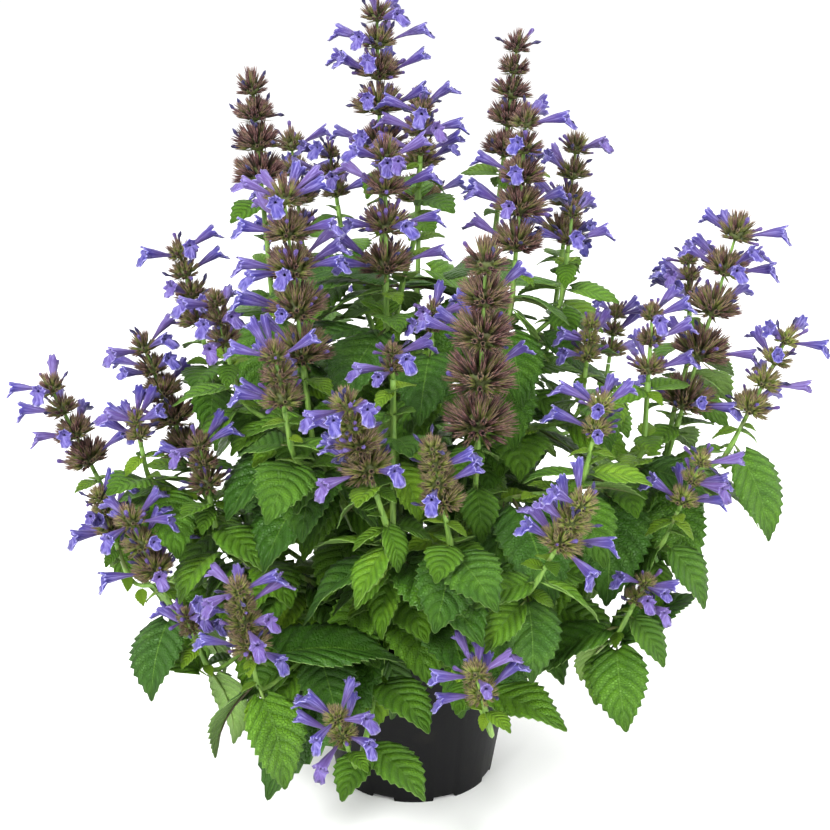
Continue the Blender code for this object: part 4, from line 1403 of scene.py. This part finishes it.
def flower_place(openness, curve):
    """Corners of a corolla in mm, with its lower lip towards -Y and its mouth towards +Z."""

    def place(angle, row):
        from_top = round(abs((angle + math.pi / 2) % math.tau - math.pi) * FLOWER_COLUMNS / math.tau)
        mouth = len(TUBE_ROWS) - 1
        low, narrow = TUBE_ROWS[mouth]
        lobe, wide = LOBES[from_top]
        wide = narrow + (wide - narrow) * openness
        ruffle = RUFFLE * (-1) ** from_top * openness
        in_palate = from_top >= PALATE_START
        if row <= mouth:
            height, radius = TUBE_ROWS[row]
        elif row == mouth + 1:
            height, radius = 0.5 * (low + lobe), 0.5 * (narrow + wide) + 0.4
        elif row == mouth + 2:
            height, radius = lobe - ruffle, wide + ruffle
        elif row == mouth + 3:
            height, radius = 0.4 * low + 0.6 * lobe + 0.5, 0.5 * (narrow + wide) - 0.5
        elif row == mouth + 4:
            height = THROAT_DEPTH + (PALATE_BULGE if in_palate else 0)
            radius = PALATE_RADIUS if in_palate else THROAT_RADIUS
        else:
            height, radius = THROAT_END_ROWS[row - mouth - 5]
        sag = curve * (height / FLOWER_LENGTH) ** 2
        flat = 1 - FLATNESS * min(1, height / FLOWER_LENGTH)
        return Vector((flat * radius * math.cos(angle), radius * math.sin(angle) + sag, height)) * MM

    return place


FLOWER_KINDS = ((1.0, -1.5), (0.85, -4.5), (0.4, 1.0))
flower_kinds = []
for openness, curve in FLOWER_KINDS:
    corolla = rolled(FLOWER_COLUMNS, len(TUBE_ROWS) + 5, flower_place(openness, curve))
    flower_kinds.append(template(corolla, "flower", PETAL_SLOT))
print(len(flower_kinds[0].polygons), "faces in a flower")

# %% [markdown]
# ## Bud, spent corolla and bract
# A bud is a small curved club. A spent corolla has shrivelled to a limp club that leans the other way.
# Either could be a flower squeezed together, but at this size a club of five or six columns looks the
# same and costs far less. A bract is a flat spike, broad below its middle.

# %% Bud, spent corolla and bract shapes
BUD_ROWS = [(0, 0), (0.12, 0.5), (0.5, 0.62), (0.78, 1.0), (0.93, 0.85), (1, 0)]
SPENT_ROWS = [(0, 0), (0.15, 0.5), (0.45, 0.55), (0.7, 1.15), (0.86, 0.7), (1, 0)]
SPIKE_WIDTHS = (0, 1.0, 0.7, 0)


def club_place(rows, bend):
    """A thin club that leans over as it goes up."""

    def place(angle, row):
        height, radius = rows[row]
        pinch = 1 - 0.25 * math.cos(2 * angle) * height
        lean = bend * height**2
        return Vector((radius * pinch * math.cos(angle), radius * math.sin(angle) + lean, height))

    return place


bud = template(rolled(5, len(BUD_ROWS) - 1, club_place(BUD_ROWS, 0.4)), "bud", BUD_SLOT)
spent = template(rolled(6, len(SPENT_ROWS) - 1, club_place(SPENT_ROWS, -2.2)), "spent", SPENT_SLOT)


def spike_place(angle, row):
    """A flat pointed bract, broad below its middle."""
    height = row / (len(SPIKE_WIDTHS) - 1)
    width = SPIKE_WIDTHS[row]
    return Vector((width * math.cos(angle), 0.25 * width * math.sin(angle) + 0.9 * height**2, height))


spike = template(rolled(5, len(SPIKE_WIDTHS) - 1, spike_place), "spike", CALYX_SLOT)
print(len(bud.polygons), len(spent.polygons), len(spike.polygons), "faces")

# %% [markdown]
# ## How each head looks
# Some heads are young and green, most are in flower, and a few have flowered already and are brown and
# bare. For each one: how ripe its calyces are from 0 to 1, how many flowers open besides the planned ones,
# the share of its calyces that hold a bud, and the share with a spent corolla.

# %% The look of each head
HEAD_LOOKS = {
    "tall_centre": (0.8, 6, 0.14, 0.06),
    "centre": (0.8, 5, 0.14, 0.08),
    "centre_side": (0.75, 3, 0.11, 0.05),
    "centre_low": (0.6, 2, 0.09, 0.03),
    "tall_right": (1.0, 0, 0.01, 0.05),
    "right": (0.85, 3, 0.07, 0.08),
    "right_inner": (0.25, 1, 0.07, 0.02),
    "tall_left": (1.0, 0, 0.0, 0.06),
    "front_left": (0.7, 7, 0.09, 0.04),
    "front": (0.85, 1, 0.01, 0.02),
    "front_right": (0.3, 2, 0.07, 0.04),
    "front_small": (0.4, 1, 0.0, 0.02),
    "low_front_right": (0.2, 2, 0.05, 0.02),
    "low_front_left": (0.2, 2, 0.05, 0.02),
    "far_right": (0.75, 4, 0.09, 0.06),
    "far_right_side": (0.25, 2, 0.07, 0.04),
    "right_green": (0.15, 2, 0.07, 0.03),
    "low_right": (0.15, 2, 0.05, 0.04),
    "right_front": (0.2, 2, 0.07, 0.04),
    "far_left": (0.8, 2, 0.07, 0.06),
    "left_outer": (0.75, 2, 0.07, 0.05),
    "left_brown": (0.7, 1, 0.05, 0.06),
    "left_cluster": (0.45, 6, 0.12, 0.06),
    "left_outer_low": (0.5, 4, 0.10, 0.05),
    "left_far_low": (0.4, 4, 0.12, 0.05),
    "left_drooping": (0.5, 3, 0.08, 0.08),
    "mid_front": (0.5, 3, 0.09, 0.05),
    "low_left": (0.4, 4, 0.09, 0.04),
}
USUAL_LOOK = (0.7, 2, 0.08, 0.05)
print(len(HEAD_LOOKS), "heads with a look of their own")

# %% [markdown]
# ## One whorl
# The calyces of a whorl stand out in rings from a small cup on the stem, the lowest ring level and the
# highest nearly upright. They all aim away from one point on the axis, and chance turns each a little. A
# flower needs its calyx to itself, so the calyces nearest its direction are left out.

# %% Calyces of a whorl
RINGS_BIG = ((14, 17, 1.18), (28, 19, 1.27), (43, 16, 1.32), (59, 11, 1.35), (76, 6, 1.36))
RINGS_SMALL = ((16, 13, 1.18), (34, 13, 1.3), (53, 9, 1.36), (75, 4, 1.4))
RINGS_TOP = ((12, 11, 1.2), (34, 10, 1.35), (57, 8, 1.55), (80, 5, 1.75))
BIG_WHORL = 12.5 * MM
CALYX_ROOT = 0.36
CALYX_WIDTH = 0.45 * MM
CALYX_SLIMNESS = 0.062
CALYX_TINTS = (-0.35, 0.3)
FLOWER_CLEARING = math.cos(math.radians(13))
BUD_WIDTH = 1.5 * MM
BUD_LENGTH = 9 * MM
BUD_SIZES = (0.55, 1.15)
BUD_TINTS = (0, 0.8)
SPENT_WIDTH = 1.2 * MM
SPENT_LENGTH = 9.5 * MM


def ring_directions(rings, draw):
    """(direction, reach) of each calyx in a whorl."""
    for rise, count, reach in rings:
        start = draw.uniform(0, 360)
        for i in range(count):
            azimuth = math.radians(start + 360 * (i + draw.uniform(-0.22, 0.22)) / count)
            direction = aim_of(azimuth, math.radians(rise + draw.uniform(-8, 8)))
            yield direction, reach * draw.uniform(0.88, 1.06)


def along_axis(origin, direction, width, length, roll=0.0):
    """Places a kept shape, whose own length is 1 along +Z."""
    sizes = Matrix.Diagonal((width, width, length, 1))
    return Matrix.Translation(origin) @ pointing(direction) @ turned_z(roll) @ sizes


def grow_whorl(bm, centre, radius, flower_ways, look, draw, is_top):
    """Adds a whorl's calyces, with buds and spent corollas in some of them."""
    ripeness, _, bud_share, spent_share = look
    rings = RINGS_TOP if is_top else RINGS_BIG if radius > BIG_WHORL else RINGS_SMALL
    for direction, reach in ring_directions(rings, draw):
        if any(direction.dot(way) > FLOWER_CLEARING for way in flower_ways):
            continue
        root = centre + direction * radius * CALYX_ROOT
        length = radius * (reach - CALYX_ROOT)
        width = (CALYX_WIDTH + CALYX_SLIMNESS * length) * draw.uniform(0.85, 1.15)
        tint = ripeness + draw.uniform(*CALYX_TINTS)
        roll = draw.uniform(0, math.tau)
        put(bm, calyx, along_axis(root, direction, width, length, roll), tint)
        chance = draw.random()
        mouth = root + direction * length * 0.5
        if chance < bud_share:
            size = draw.uniform(*BUD_SIZES)
            place = along_axis(mouth, direction, BUD_WIDTH * size, BUD_LENGTH * size, roll)
            put(bm, bud, place, draw.uniform(*BUD_TINTS))
        elif chance < bud_share + spent_share:
            put(bm, spent, along_axis(mouth, direction, SPENT_WIDTH, SPENT_LENGTH, roll), draw.random())


print("a big whorl has", sum(ring[1] for ring in RINGS_BIG), "calyces")

# %% [markdown]
# ## The flowers on a head
# The planned flowers stand where the solid model has them. Heads in full flower get some more, in
# directions that are still free. Each flower keeps its upper lip towards the sky and is rolled a little, and
# about one in four is pinker than the rest.

# %% Flowers of a head
EXTRA_FLOWER_TRIES = 60
EXTRA_FLOWER_RISE = (5, 50)
EXTRA_FLOWER_REACH = (0.7, 1.05)
FLOWER_GAP = 9 * MM
FLOWER_SIZES = (0.86, 1.0)
FLOWER_TURNS = (-0.5, 0.5)
BLUE_SHARE = 0.75
BLUE_TINTS = (0, 0.35)
PINK_TINTS = (0.5, 1.0)
KIND_WEIGHTS = (3, 3, 1)


def aimed(origin, direction, up, roll, size):
    """Places a flower with its upper lip towards up, then rolls it a little."""
    side = up.cross(direction).normalized()
    upper = direction.cross(side)
    turn = Matrix((side, upper, direction)).transposed().to_4x4()
    return Matrix.Translation(origin) @ turn @ turned_z(roll) @ Matrix.Scale(size, 4)


def all_flowers(head, look, draw):
    """The planned flowers as (centre, direction, length), and extra ones in the free directions."""
    whorls, _ = whorls_of(head)
    chosen = [flower[1:] for flower in flowers[head[0]]]
    tries = 0
    wanted = len(chosen) + look[1]
    while len(chosen) < wanted and tries < EXTRA_FLOWER_TRIES:
        tries += 1
        height, radius = whorls[draw.randrange(len(whorls))]
        centre = UP * (height + BOWL_CENTRE * BOWL_HEIGHT * radius)
        azimuth = draw.uniform(0, math.tau)
        out = aim_of(azimuth, math.radians(draw.uniform(*EXTRA_FLOWER_RISE)))
        length = radius + FLOWER_REACH * draw.uniform(*EXTRA_FLOWER_REACH)
        near = any((centre + out * length - c - o * n).length < FLOWER_GAP for c, o, n in chosen)
        if not near:
            chosen.append((centre, out, length))
    return chosen


def open_flowers(bm, chosen, up, draw):
    for centre, out, length in chosen:
        size = draw.uniform(*FLOWER_SIZES)
        root = centre + out * (length - FLOWER_LENGTH * MM * size)
        tint = draw.uniform(*(BLUE_TINTS if draw.random() < BLUE_SHARE else PINK_TINTS))
        kind = draw.choices(flower_kinds, KIND_WEIGHTS)[0]
        put(bm, kind, aimed(root, out, up, draw.uniform(*FLOWER_TURNS), size), tint)


print("flowers ready")

# %% [markdown]
# ## A whole head
# The head's axis is a thin stalk with a small cup at each whorl. Narrow pointed bracts stand under each
# cup. The lowest whorl also has a pair of small leaves, which are made with the other leaves below.

# %% Head builder
BRACTS = 11
BRACT_WIDTH = 1.0 * MM
BRACT_ROOT = 0.3
BRACT_RISE = (-0.25, 0.3)
BRACT_REACH = (0.6, 0.95)
BRACT_GREENER = 0.5
STALK_SIDES = 8
STALK_TIP = 0.6
CUP_SIDES = 10
CUP_ROWS = [(0.75, 0.12), (1, BOWL_RIM), (0.6, 0.8), (0, 1)]
STALK_TINT = 0.5
# The cups' low tint gives them the stem finish's painted shade.
CUP_SHADE_TINT = 0.1
WIDE_CALYX_REACH = 1.12
WIDE_CALYX_WIDTH = 0.7 * MM
WIDE_CALYX_SLIMNESS = 0.09


def lathe(bm, profile, sides, tint):
    """Adds a solid turned from (radius, height) rows, the first and last on the axis."""

    def place(angle, row):
        radius, height = profile[row]
        return around(radius, angle, height)

    put_once(bm, rolled(sides, len(profile) - 1, place), STALK_SLOT, Matrix.Identity(4), tint)


def wide_calyx(centre, out, radius):
    """The place of the wide calyx that an open flower stands in."""
    length = radius * (WIDE_CALYX_REACH - CALYX_ROOT)
    width = WIDE_CALYX_WIDTH + WIDE_CALYX_SLIMNESS * length
    return along_axis(centre + out * radius * CALYX_ROOT, out, width, length)


print(len(CUP_ROWS), "rows in a whorl's cup")

# %% Grow the heads
def grow_head(head):
    """One head with everything on it, in its own axes, then set in its place."""
    draw = random.Random(head[0] + "_fine")
    look = HEAD_LOOKS.get(head[0], USUAL_LOOK)
    turn = head_frame(head)
    up = turn.to_3x3().inverted() @ UP
    whorls, length = whorls_of(head)
    bm = sheet_bmesh()
    stalk = [(0, 0), (HEAD_AXIS_RADIUS, 0), (HEAD_AXIS_RADIUS, whorls[0][0])]
    tip = whorls[-1][0] + whorls[-1][1] / 2
    stalk += [(STALK_TIP * HEAD_AXIS_RADIUS, tip), (0, tip)]
    lathe(bm, stalk, STALK_SIDES, STALK_TINT)
    chosen = all_flowers(head, look, draw)
    for height, radius in whorls:
        bowl = BOWL_HEIGHT * radius
        core = CORE_SHARE * radius
        cup = [(0, height), (HEAD_AXIS_RADIUS, height)]
        cup += [(share * core, height + rise * bowl) for share, rise in CUP_ROWS]
        lathe(bm, cup, CUP_SIDES, CUP_SHADE_TINT)
        centre = UP * (height + BOWL_CENTRE * bowl)
        ways = [out for c, out, _ in chosen if (c - centre).length < 1 * MM]
        grow_whorl(bm, centre, radius, ways, look, draw, height == whorls[-1][0])
        for out in ways:
            put(bm, calyx, wide_calyx(centre, out, radius), look[0])
        for i in range(BRACTS):
            azimuth = (i + draw.uniform(-0.3, 0.3)) * math.tau / BRACTS
            out = around(1, azimuth, draw.uniform(*BRACT_RISE)).normalized()
            length = radius * draw.uniform(*BRACT_REACH)
            place = along_axis(centre + out * BRACT_ROOT * core, out, BRACT_WIDTH, length)
            put(bm, spike, place, look[0] - BRACT_GREENER)
    open_flowers(bm, chosen, up, draw)
    bm.transform(turn)
    return bm


head_materials = [calyx_brown, petal, stem_green, bud_purple, spent_navy]
for head in all_heads:
    name = "head_" + head[0]
    piece = mesh_object(grow_head(head), "fine_" + name, head_materials)
    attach(piece, "root")
    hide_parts(name)
print(len(all_heads), "heads, the last with", len(piece.data.polygons), "faces")

# %% [markdown]
# ## One leaf
# A leaf could be cut out of a flat sheet, but its teeth, its swollen panels and its arch all follow its own
# length and width. So it starts as a grid of squares, two rows to a tooth, and each corner is moved to its
# place on the arched blade. The sheet is then given its thickness, and the stalk runs on under it as the
# midrib.

# %% Leaf sheet
BLADE_COLUMNS = 8
SMALL_BLADE_COLUMNS = 6
SMALL_BLADE = 70 * MM
TOOTH_PITCH = 5.8 * MM
FEWEST_TEETH = 6
MOST_TEETH = 15
SHEET_THICKNESS = 0.45 * MM
QUILT_SHARE = 0.013
QUILT_ROUNDING = 0.6
FOOT_SWELL = 1.12
TIP_DRAW = 0.25
FIRST_ROW = 0.015
TOOTH_OUT = 0.07
VALLEY_IN = -0.05
TOOTH_FORWARD = 0.55
FOOT_LOBE = -0.085
FOOT_LOBE_REACH = 0.07
HALF_TROUGH = 1.15
EDGE_DIP = 0.55
RUFFLE_SHARE = 0.02


def leaf_corner(s, row, rows, place, waves):
    """The place of a leaf's corner: s from -1 to 1 across, row by row from foot to tip."""
    length, bend = place[4:6]
    u = FIRST_ROW + (1 - FIRST_ROW) * row / rows
    width = half_width(PETIOLE_SHARE + (1 - PETIOLE_SHARE) * u, length) if u < 1 else 0
    width *= FOOT_SWELL * (1 - u) ** TIP_DRAW
    edge = abs(s) ** 3
    tooth = (TOOTH_OUT if row % 2 else VALLEY_IN) * edge * min(1, 4 * (1 - u))
    forward = (TOOTH_FORWARD if row % 2 else 0) / rows * edge
    lobe = FOOT_LOBE * s * s * math.exp(-u / FOOT_LOBE_REACH)
    t = PETIOLE_SHARE + (1 - PETIOLE_SHARE) * min(1, u + forward) + lobe
    across = s * width * (1 + tooth)
    phase = VEINS * u - VEIN_SLOPE * abs(s) ** VEIN_CURVE
    panel = abs(math.sin(math.pi * phase)) ** QUILT_ROUNDING * min(1, 4 * abs(s)) * (1 - 0.5 * edge)
    lift = abs(across) * BLADE_FOLD * (HALF_TROUGH - EDGE_DIP * s * s)
    lift += QUILT_SHARE * length * panel * (1 - u)
    right, pace, left = waves
    ruffle = RUFFLE_SHARE * math.sin((right if s > 0 else left) + pace * u)
    lift += ruffle * edge * length * min(1, 5 * (1 - u))
    return blade_point(t, across, lift, length, bend)


def leaf_sheet(place, draw):
    """A leaf blade with its thickness, its two sides in their own slots."""
    rows = 2 * max(FEWEST_TEETH, min(MOST_TEETH, round(place[4] / TOOTH_PITCH)))
    bm = grid_sheet(SMALL_BLADE_COLUMNS if place[4] < SMALL_BLADE else BLADE_COLUMNS, rows)
    waves = (draw.uniform(0, 6), draw.uniform(6, 11), draw.uniform(0, 6))
    for vert in bm.verts:
        s = 2 * vert.co.x - 1
        vert.co = leaf_corner(s, round(vert.co.y * rows), rows, place, waves)
    bmesh.ops.remove_doubles(bm, verts=bm.verts, dist=WELD_DISTANCE)
    before = set(bm.faces)
    bmesh.ops.solidify(bm, geom=bm.faces[:], thickness=SHEET_THICKNESS)
    for face in bm.faces:
        face.material_index = LEAF_TOP_SLOT if face in before else LEAF_BACK_SLOT
    return bm


test_leaf = leaf_sheet((Vector((0, 0, 0)), 0, 0, 0, 80 * MM, 0.8), random.Random(1))
print(len(test_leaf.faces), "faces in a large leaf")
test_leaf.free()

# %% Leaf with its stalk
RIB_ROWS = 9
SMALL_RIB_ROWS = 5
RIB_END = 0.9
STALK_THICKNESS = 1.25 * MM
RIB_THINNING = 1.05 * MM
FULL_THICKNESS_LENGTH = 80 * MM
RIB_SINK = -1.15


def stalk_and_rib(place):
    """The leaf's stalk, which runs on under the blade as its midrib."""
    length, bend = place[4:6]
    rows = SMALL_RIB_ROWS if length < SMALL_BLADE else RIB_ROWS

    def corner(angle, row):
        t = min(RIB_END, row / rows * 0.95)
        thick = (STALK_THICKNESS - RIB_THINNING * t) * (0.55 + 0.45 * length / FULL_THICKNESS_LENGTH)
        radius = 0 if row in (0, rows) else thick
        sink = RIB_SINK * radius if t > PETIOLE_SHARE else 0
        return blade_point(t, radius * math.cos(angle), radius * math.sin(angle) + sink, length, bend)

    return rolled(5, rows, corner)


def grow_leaf(bm, place, tint, draw):
    """Adds a leaf to a growing bmesh: blade, underside and stalk."""
    put_once(bm, leaf_sheet(place, draw), None, leaf_frame(place), tint)
    put_once(bm, stalk_and_rib(place), STEM_SLOT, leaf_frame(place), tint)


print("leaf builder ready")

# %% [markdown]
# ## One stem
# The stem follows the planned line, with its corners eased, and keeps its square section with rounded edges
# and a groove down each side. It swells a little at each pair of leaves.

# %% Stem tubes
STEM_SIDES = 12
STEM_STEP = 6 * MM
EASING_ROUNDS = 4
NODE_SWELL = 0.3
NODE_REACH = 4 * MM
MEAN_SECTION = 0.86
SQUARENESS = 0.13
GROOVE = 0.02


def eased(line):
    """Closer points along the line, with its corners rounded."""
    points = [line[0].copy()]
    for start, end in zip(line, line[1:]):
        count = max(1, round((end - start).length / STEM_STEP))
        points += [start.lerp(end, (i + 1) / count) for i in range(count)]
    for _ in range(EASING_ROUNDS):
        inner = [(a + 2 * b + c) / 4 for a, b, c in zip(points, points[1:], points[2:])]
        points = [points[0]] + inner + [points[-1]]
    return points


def frames_along(points):
    """A matrix at each point, that doesn't twist from one to the next."""
    side = Vector((1, 0, 0))
    frames = []
    for i, point in enumerate(points):
        ahead = (points[min(i + 1, len(points) - 1)] - points[max(i - 1, 0)]).normalized()
        side = (side - ahead * side.dot(ahead)).normalized()
        frames.append(Matrix((side, ahead.cross(side), ahead)).transposed().to_4x4())
        frames[-1].translation = point
    return frames


def stem_tube(line, start_radius, nodes):
    """A square stem with grooved sides, thicker at its leaf nodes."""
    points = eased(line)
    frames = frames_along(points)
    last = len(points) + 1

    def corner(angle, row):
        i = min(max(row - 1, 0), len(points) - 1)
        share = i / (len(points) - 1)
        radius = start_radius + (STEM_TOP_RADIUS - start_radius) * share
        near = min(((points[i] - node).length for node in nodes), default=1)
        radius *= 1 + NODE_SWELL * math.exp(-((near / NODE_REACH) ** 2))
        section = MEAN_SECTION + SQUARENESS * math.cos(4 * angle) + GROOVE * math.cos(8 * angle)
        radius = 0 if row in (0, last) else radius * section
        return frames[i] @ around(radius, angle, 0)

    return rolled(STEM_SIDES, last, corner)


print(len(eased(stems["centre"][0][1])), "points along the middle stem")

# %% Grow the stems and leaves
SMALL_LEAF_YOUTH = 0.72
OLD_LEAF_LENGTH = 120 * MM
YOUTH_SPREAD = (-0.22, 0.3)


def leaf_tint(place, draw):
    """Small high leaves are young and bright, large low ones are dark."""
    youth = SMALL_LEAF_YOUTH - place[4] / OLD_LEAF_LENGTH
    return max(0, min(1, youth + draw.uniform(*YOUTH_SPREAD)))


def grow_stem(name):
    bm = sheet_bmesh()
    draw = random.Random(name + "_fine_leaves")
    nodes = [place[0] for place in leaves[name]]
    for _, line, radius in stems[name]:
        put_once(bm, stem_tube(line, radius, nodes), STEM_SLOT, Matrix.Identity(4), STALK_TINT)
    for place in leaves[name] + closing[name] + young[name]:
        grow_leaf(bm, place, leaf_tint(place, draw), draw)
    return bm


stem_materials = [leaf_top, leaf_back, stem_green]
for name in stems:
    piece = mesh_object(grow_stem(name), "fine_stem_" + name, stem_materials)
    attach(piece, "root")
    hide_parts("stem_" + name)
    print(name, len(piece.data.polygons), "faces")

# %% [markdown]
# ## The pot
# A thin-walled pot of black plastic, turned from one profile, with a band round its rim and a foot ring
# that is cut by notches so that water can run out. The notches are made by lifting the foot's lower edge
# between two close columns. The plastic is matt, with a fine grain, faint flow lines and a little dust.

# %% Pot finish
def pot_finish():
    material, tree, shader = new_finish("pot_black", 0.5, Specular_IOR_Level=0.1)
    dust = grain(tree, 28.0, 5.0)
    fine = grain(tree, 1400.0, 2.0)
    flow = grain(tree, 120.0, 3.0, stretched(tree, own_place(tree), (1, 1, 0.05)))
    stops = [(0.35, (0.004, 0.004, 0.0044)), (0.62, (0.006, 0.006, 0.0065)), (0.8, (0.014, 0.013, 0.011))]
    tree.links.new(colours(tree, dust, stops), shader.inputs["Base Color"])
    tree.links.new(calc(tree, "ADD", calc(tree, "MULTIPLY", dust, 0.35), 0.3), shader.inputs["Roughness"])
    roughen(tree, shader, calc(tree, "ADD", fine, calc(tree, "MULTIPLY", flow, 2.0)), 0.00025, 0.6)
    return material


pot_black = pot_finish()
print(len(pot_black.node_tree.nodes), "nodes in the pot's finish")

# %% Pot shape
POT_COLUMNS = 120
FOOT_EDGE_ROWS = (13, 14)
NOTCH_SLOPE = math.radians(0.25)
SHARP_EDGE = math.radians(35)
floor_top = FOOT_HEIGHT + POT_FLOOR
band_low = POT_HEIGHT - RIM_BAND_HEIGHT
SOFT = 0.5 * MM
POT_PROFILE = [
    (0, floor_top),
    (0.5 * POT_BASE_RADIUS, floor_top),
    (inner_radius(floor_top) - SOFT, floor_top),
    (inner_radius(floor_top + SOFT), floor_top + SOFT),
    (inner_radius(POT_HEIGHT) - 0.1 * MM, POT_HEIGHT - SOFT),
    (inner_radius(POT_HEIGHT) + 0.4 * MM, POT_HEIGHT),
    (POT_RIM_RADIUS - SOFT, POT_HEIGHT),
    (POT_RIM_RADIUS, POT_HEIGHT - SOFT),
    (POT_RIM_RADIUS - 0.3 * MM, band_low + SOFT),
    (POT_RIM_RADIUS - 0.8 * MM, band_low),
    (wall_radius(band_low) + 0.2 * MM, band_low),
    (wall_radius(band_low) - 0.1 * MM, band_low - SOFT),
    (wall_radius(2 * NOTCH_HEIGHT), 2 * NOTCH_HEIGHT),
    (POT_BASE_RADIUS, 0),
    (POT_BASE_RADIUS - FOOT_WALL, 0),
    (POT_BASE_RADIUS - FOOT_WALL, FOOT_HEIGHT),
    (CENTRE_FOOT_RADIUS + FOOT_WALL, FOOT_HEIGHT),
    (CENTRE_FOOT_RADIUS, 0),
    (0, 0),
]


def pot_place(angle, row):
    """A corner of the pot's wall. The foot's edge is lifted within each notch."""
    radius, height = POT_PROFILE[row]
    middle = (math.floor(angle * NOTCHES / math.tau) + 0.5) * math.tau / NOTCHES
    away = angle - middle
    edge = NOTCH_WIDTH / 2 / POT_BASE_RADIUS
    step = math.tau / POT_COLUMNS
    if abs(abs(away) - edge) < step:
        side = math.copysign(1, away)
        inside = abs(away) < edge
        angle = middle + side * (edge - NOTCH_SLOPE if inside else edge + NOTCH_SLOPE)
        away = angle - middle
    if row in FOOT_EDGE_ROWS and abs(away) < edge:
        height = NOTCH_HEIGHT
    return around(radius, angle, height)


pot_bm = rolled(POT_COLUMNS, len(POT_PROFILE) - 1, pot_place)
pot = mesh_object(pot_bm, "fine_pot", [pot_black])
pot.data.set_sharp_from_angle(angle=SHARP_EDGE)
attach(pot, "root")
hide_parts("pot")
print(len(pot.data.polygons), "faces in the pot")

# %% [markdown]
# ## The soil
# Peaty compost: a dark, crumbly ground with lumps, fibres and a few pale grains. The body of the soil is a
# turned plug with an uneven top, and the crumbs are a few hundred small lumps pressed into it.

# %% Soil finish and shape
def soil_finish(name, stops):
    material, tree, shader = new_finish(name, 0.92, Specular_IOR_Level=0.15)
    lumps = grain(tree, 260.0, 6.0)
    tree.links.new(colours(tree, lumps, stops), shader.inputs["Base Color"])
    roughen(tree, shader, calc(tree, "ADD", lumps, grain(tree, 900.0, 4.0)), 0.0012, 0.9)
    return material


PEAT_STOPS = [(0.3, (0.010, 0.006, 0.004)), (0.55, (0.035, 0.021, 0.013)), (0.8, (0.085, 0.052, 0.03))]
peat = soil_finish("peat", PEAT_STOPS)
pale_grain = soil_finish("pale_grain", [(0.3, (0.35, 0.32, 0.27)), (0.7, (0.6, 0.57, 0.5))])
SOIL_RINGS = 22
SOIL_COLUMNS = 72
LUMPS_PER_METRE = 90
LUMP_HEIGHT = 1.6 * MM
CRUMBS = 400
CRUMB_SIZES = (0.6, 2.4)
CRUMB_EDGE_GAP = 3 * MM
PALE_SHARE = 0.04


def soil_place(angle, row):
    """Rings across the uneven top, then down the side and under."""
    edge_radius = inner_radius(SOIL_TOP - SOIL_EDGE_DROP) - SOIL_GAP
    if row <= SOIL_RINGS:
        radius = edge_radius * row / SOIL_RINGS
        flat = around(radius, angle, 0)
        lump = noise.fractal(flat * LUMPS_PER_METRE, 0.9, 2.0, 4) * LUMP_HEIGHT
        height = SOIL_TOP - SOIL_EDGE_DROP * (row / SOIL_RINGS) ** 3 + lump
        return flat + UP * height
    low = FOOT_HEIGHT + POT_FLOOR + SOIL_GAP
    radius = inner_radius(low) - SOIL_GAP if row == SOIL_RINGS + 1 else 0
    return around(radius, angle, low)


soil_bm = rolled(SOIL_COLUMNS, SOIL_RINGS + 2, soil_place)
crumb_bm = sheet_bmesh()
bmesh.ops.create_icosphere(crumb_bm, subdivisions=1, radius=1)
crumb = template(crumb_bm, "crumb")
draw = random.Random(9)
for i in range(CRUMBS):
    radius = (inner_radius(SOIL_TOP) - CRUMB_EDGE_GAP) * math.sqrt(draw.random())
    angle = draw.uniform(0, math.tau)
    size = draw.uniform(*CRUMB_SIZES) * MM
    spot = soil_place(angle, round(radius / inner_radius(SOIL_TOP) * SOIL_RINGS)) + UP * size * 0.1
    sizes = Matrix.Diagonal((size * draw.uniform(0.7, 1.3), size, size * draw.uniform(0.5, 0.9), 1))
    is_pale = draw.random() < PALE_SHARE
    for polygon in crumb.polygons:
        polygon.material_index = 1 if is_pale else 0
    put(soil_bm, crumb, Matrix.Translation(spot) @ turned_z(draw.uniform(0, 3)) @ sizes, 0)
soil = mesh_object(soil_bm, "fine_soil", [peat, pale_grain])
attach(soil, "root")
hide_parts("soil")
print(len(soil.data.polygons), "faces in the soil")

# %% [markdown]
# ## Studio
# The photograph is lit by large soft lights, with hardly a shadow. A pale floor, a white surround and three
# broad lamps give the same light.

# %% Floor
FLOOR_HALF_SIDE = 14
FLOOR_WHITE = (0.93, 0.93, 0.93, 1)
floor_bm = bmesh.new()
bmesh.ops.create_grid(floor_bm, x_segments=1, y_segments=1, size=FLOOR_HALF_SIDE)
floor_material, _, floor_shader = new_finish("floor_white", 0.9)
floor_shader.inputs["Base Color"].default_value = FLOOR_WHITE
floor_shader.inputs["Specular IOR Level"].default_value = 0
floor = mesh_object(floor_bm, "floor", [floor_material])
print("floor", 2 * FLOOR_HALF_SIDE, "m wide")

# %% Surround
SURROUND_STRENGTH = 1.08
world = bpy.data.worlds.new("surround")
world.use_nodes = True
background = world.node_tree.nodes["Background"]
background.inputs["Color"].default_value = (1, 1, 1, 1)
background.inputs["Strength"].default_value = SURROUND_STRENGTH
bpy.context.scene.world = world
bpy.context.scene.view_settings.view_transform = "Standard"
print("surround strength", SURROUND_STRENGTH)

# %% Lamps
def soft_lamp(name, place, aim, size, power):
    data = bpy.data.lights.new(name, "AREA")
    data.shape = "DISK"
    data.size = size
    data.energy = power
    lamp = bpy.data.objects.new(name, data)
    lamp.location = place
    lamp.rotation_euler = (Vector(place) - Vector(aim)).to_track_quat("Z", "Y").to_euler()
    bpy.context.scene.collection.objects.link(lamp)
    return lamp


soft_lamp("key_lamp", (-1.1, -1.6, 1.7), (0, 0, 0.25), 1.0, 74)
soft_lamp("fill_lamp", (1.4, -1.2, 0.9), (0, 0, 0.25), 1.2, 26)
top_lamp = soft_lamp("top_lamp", (0.2, 0.6, 2.0), (0, 0, 0.2), 1.2, 30)
print("top lamp at", tuple(round(value, 1) for value in top_lamp.location))
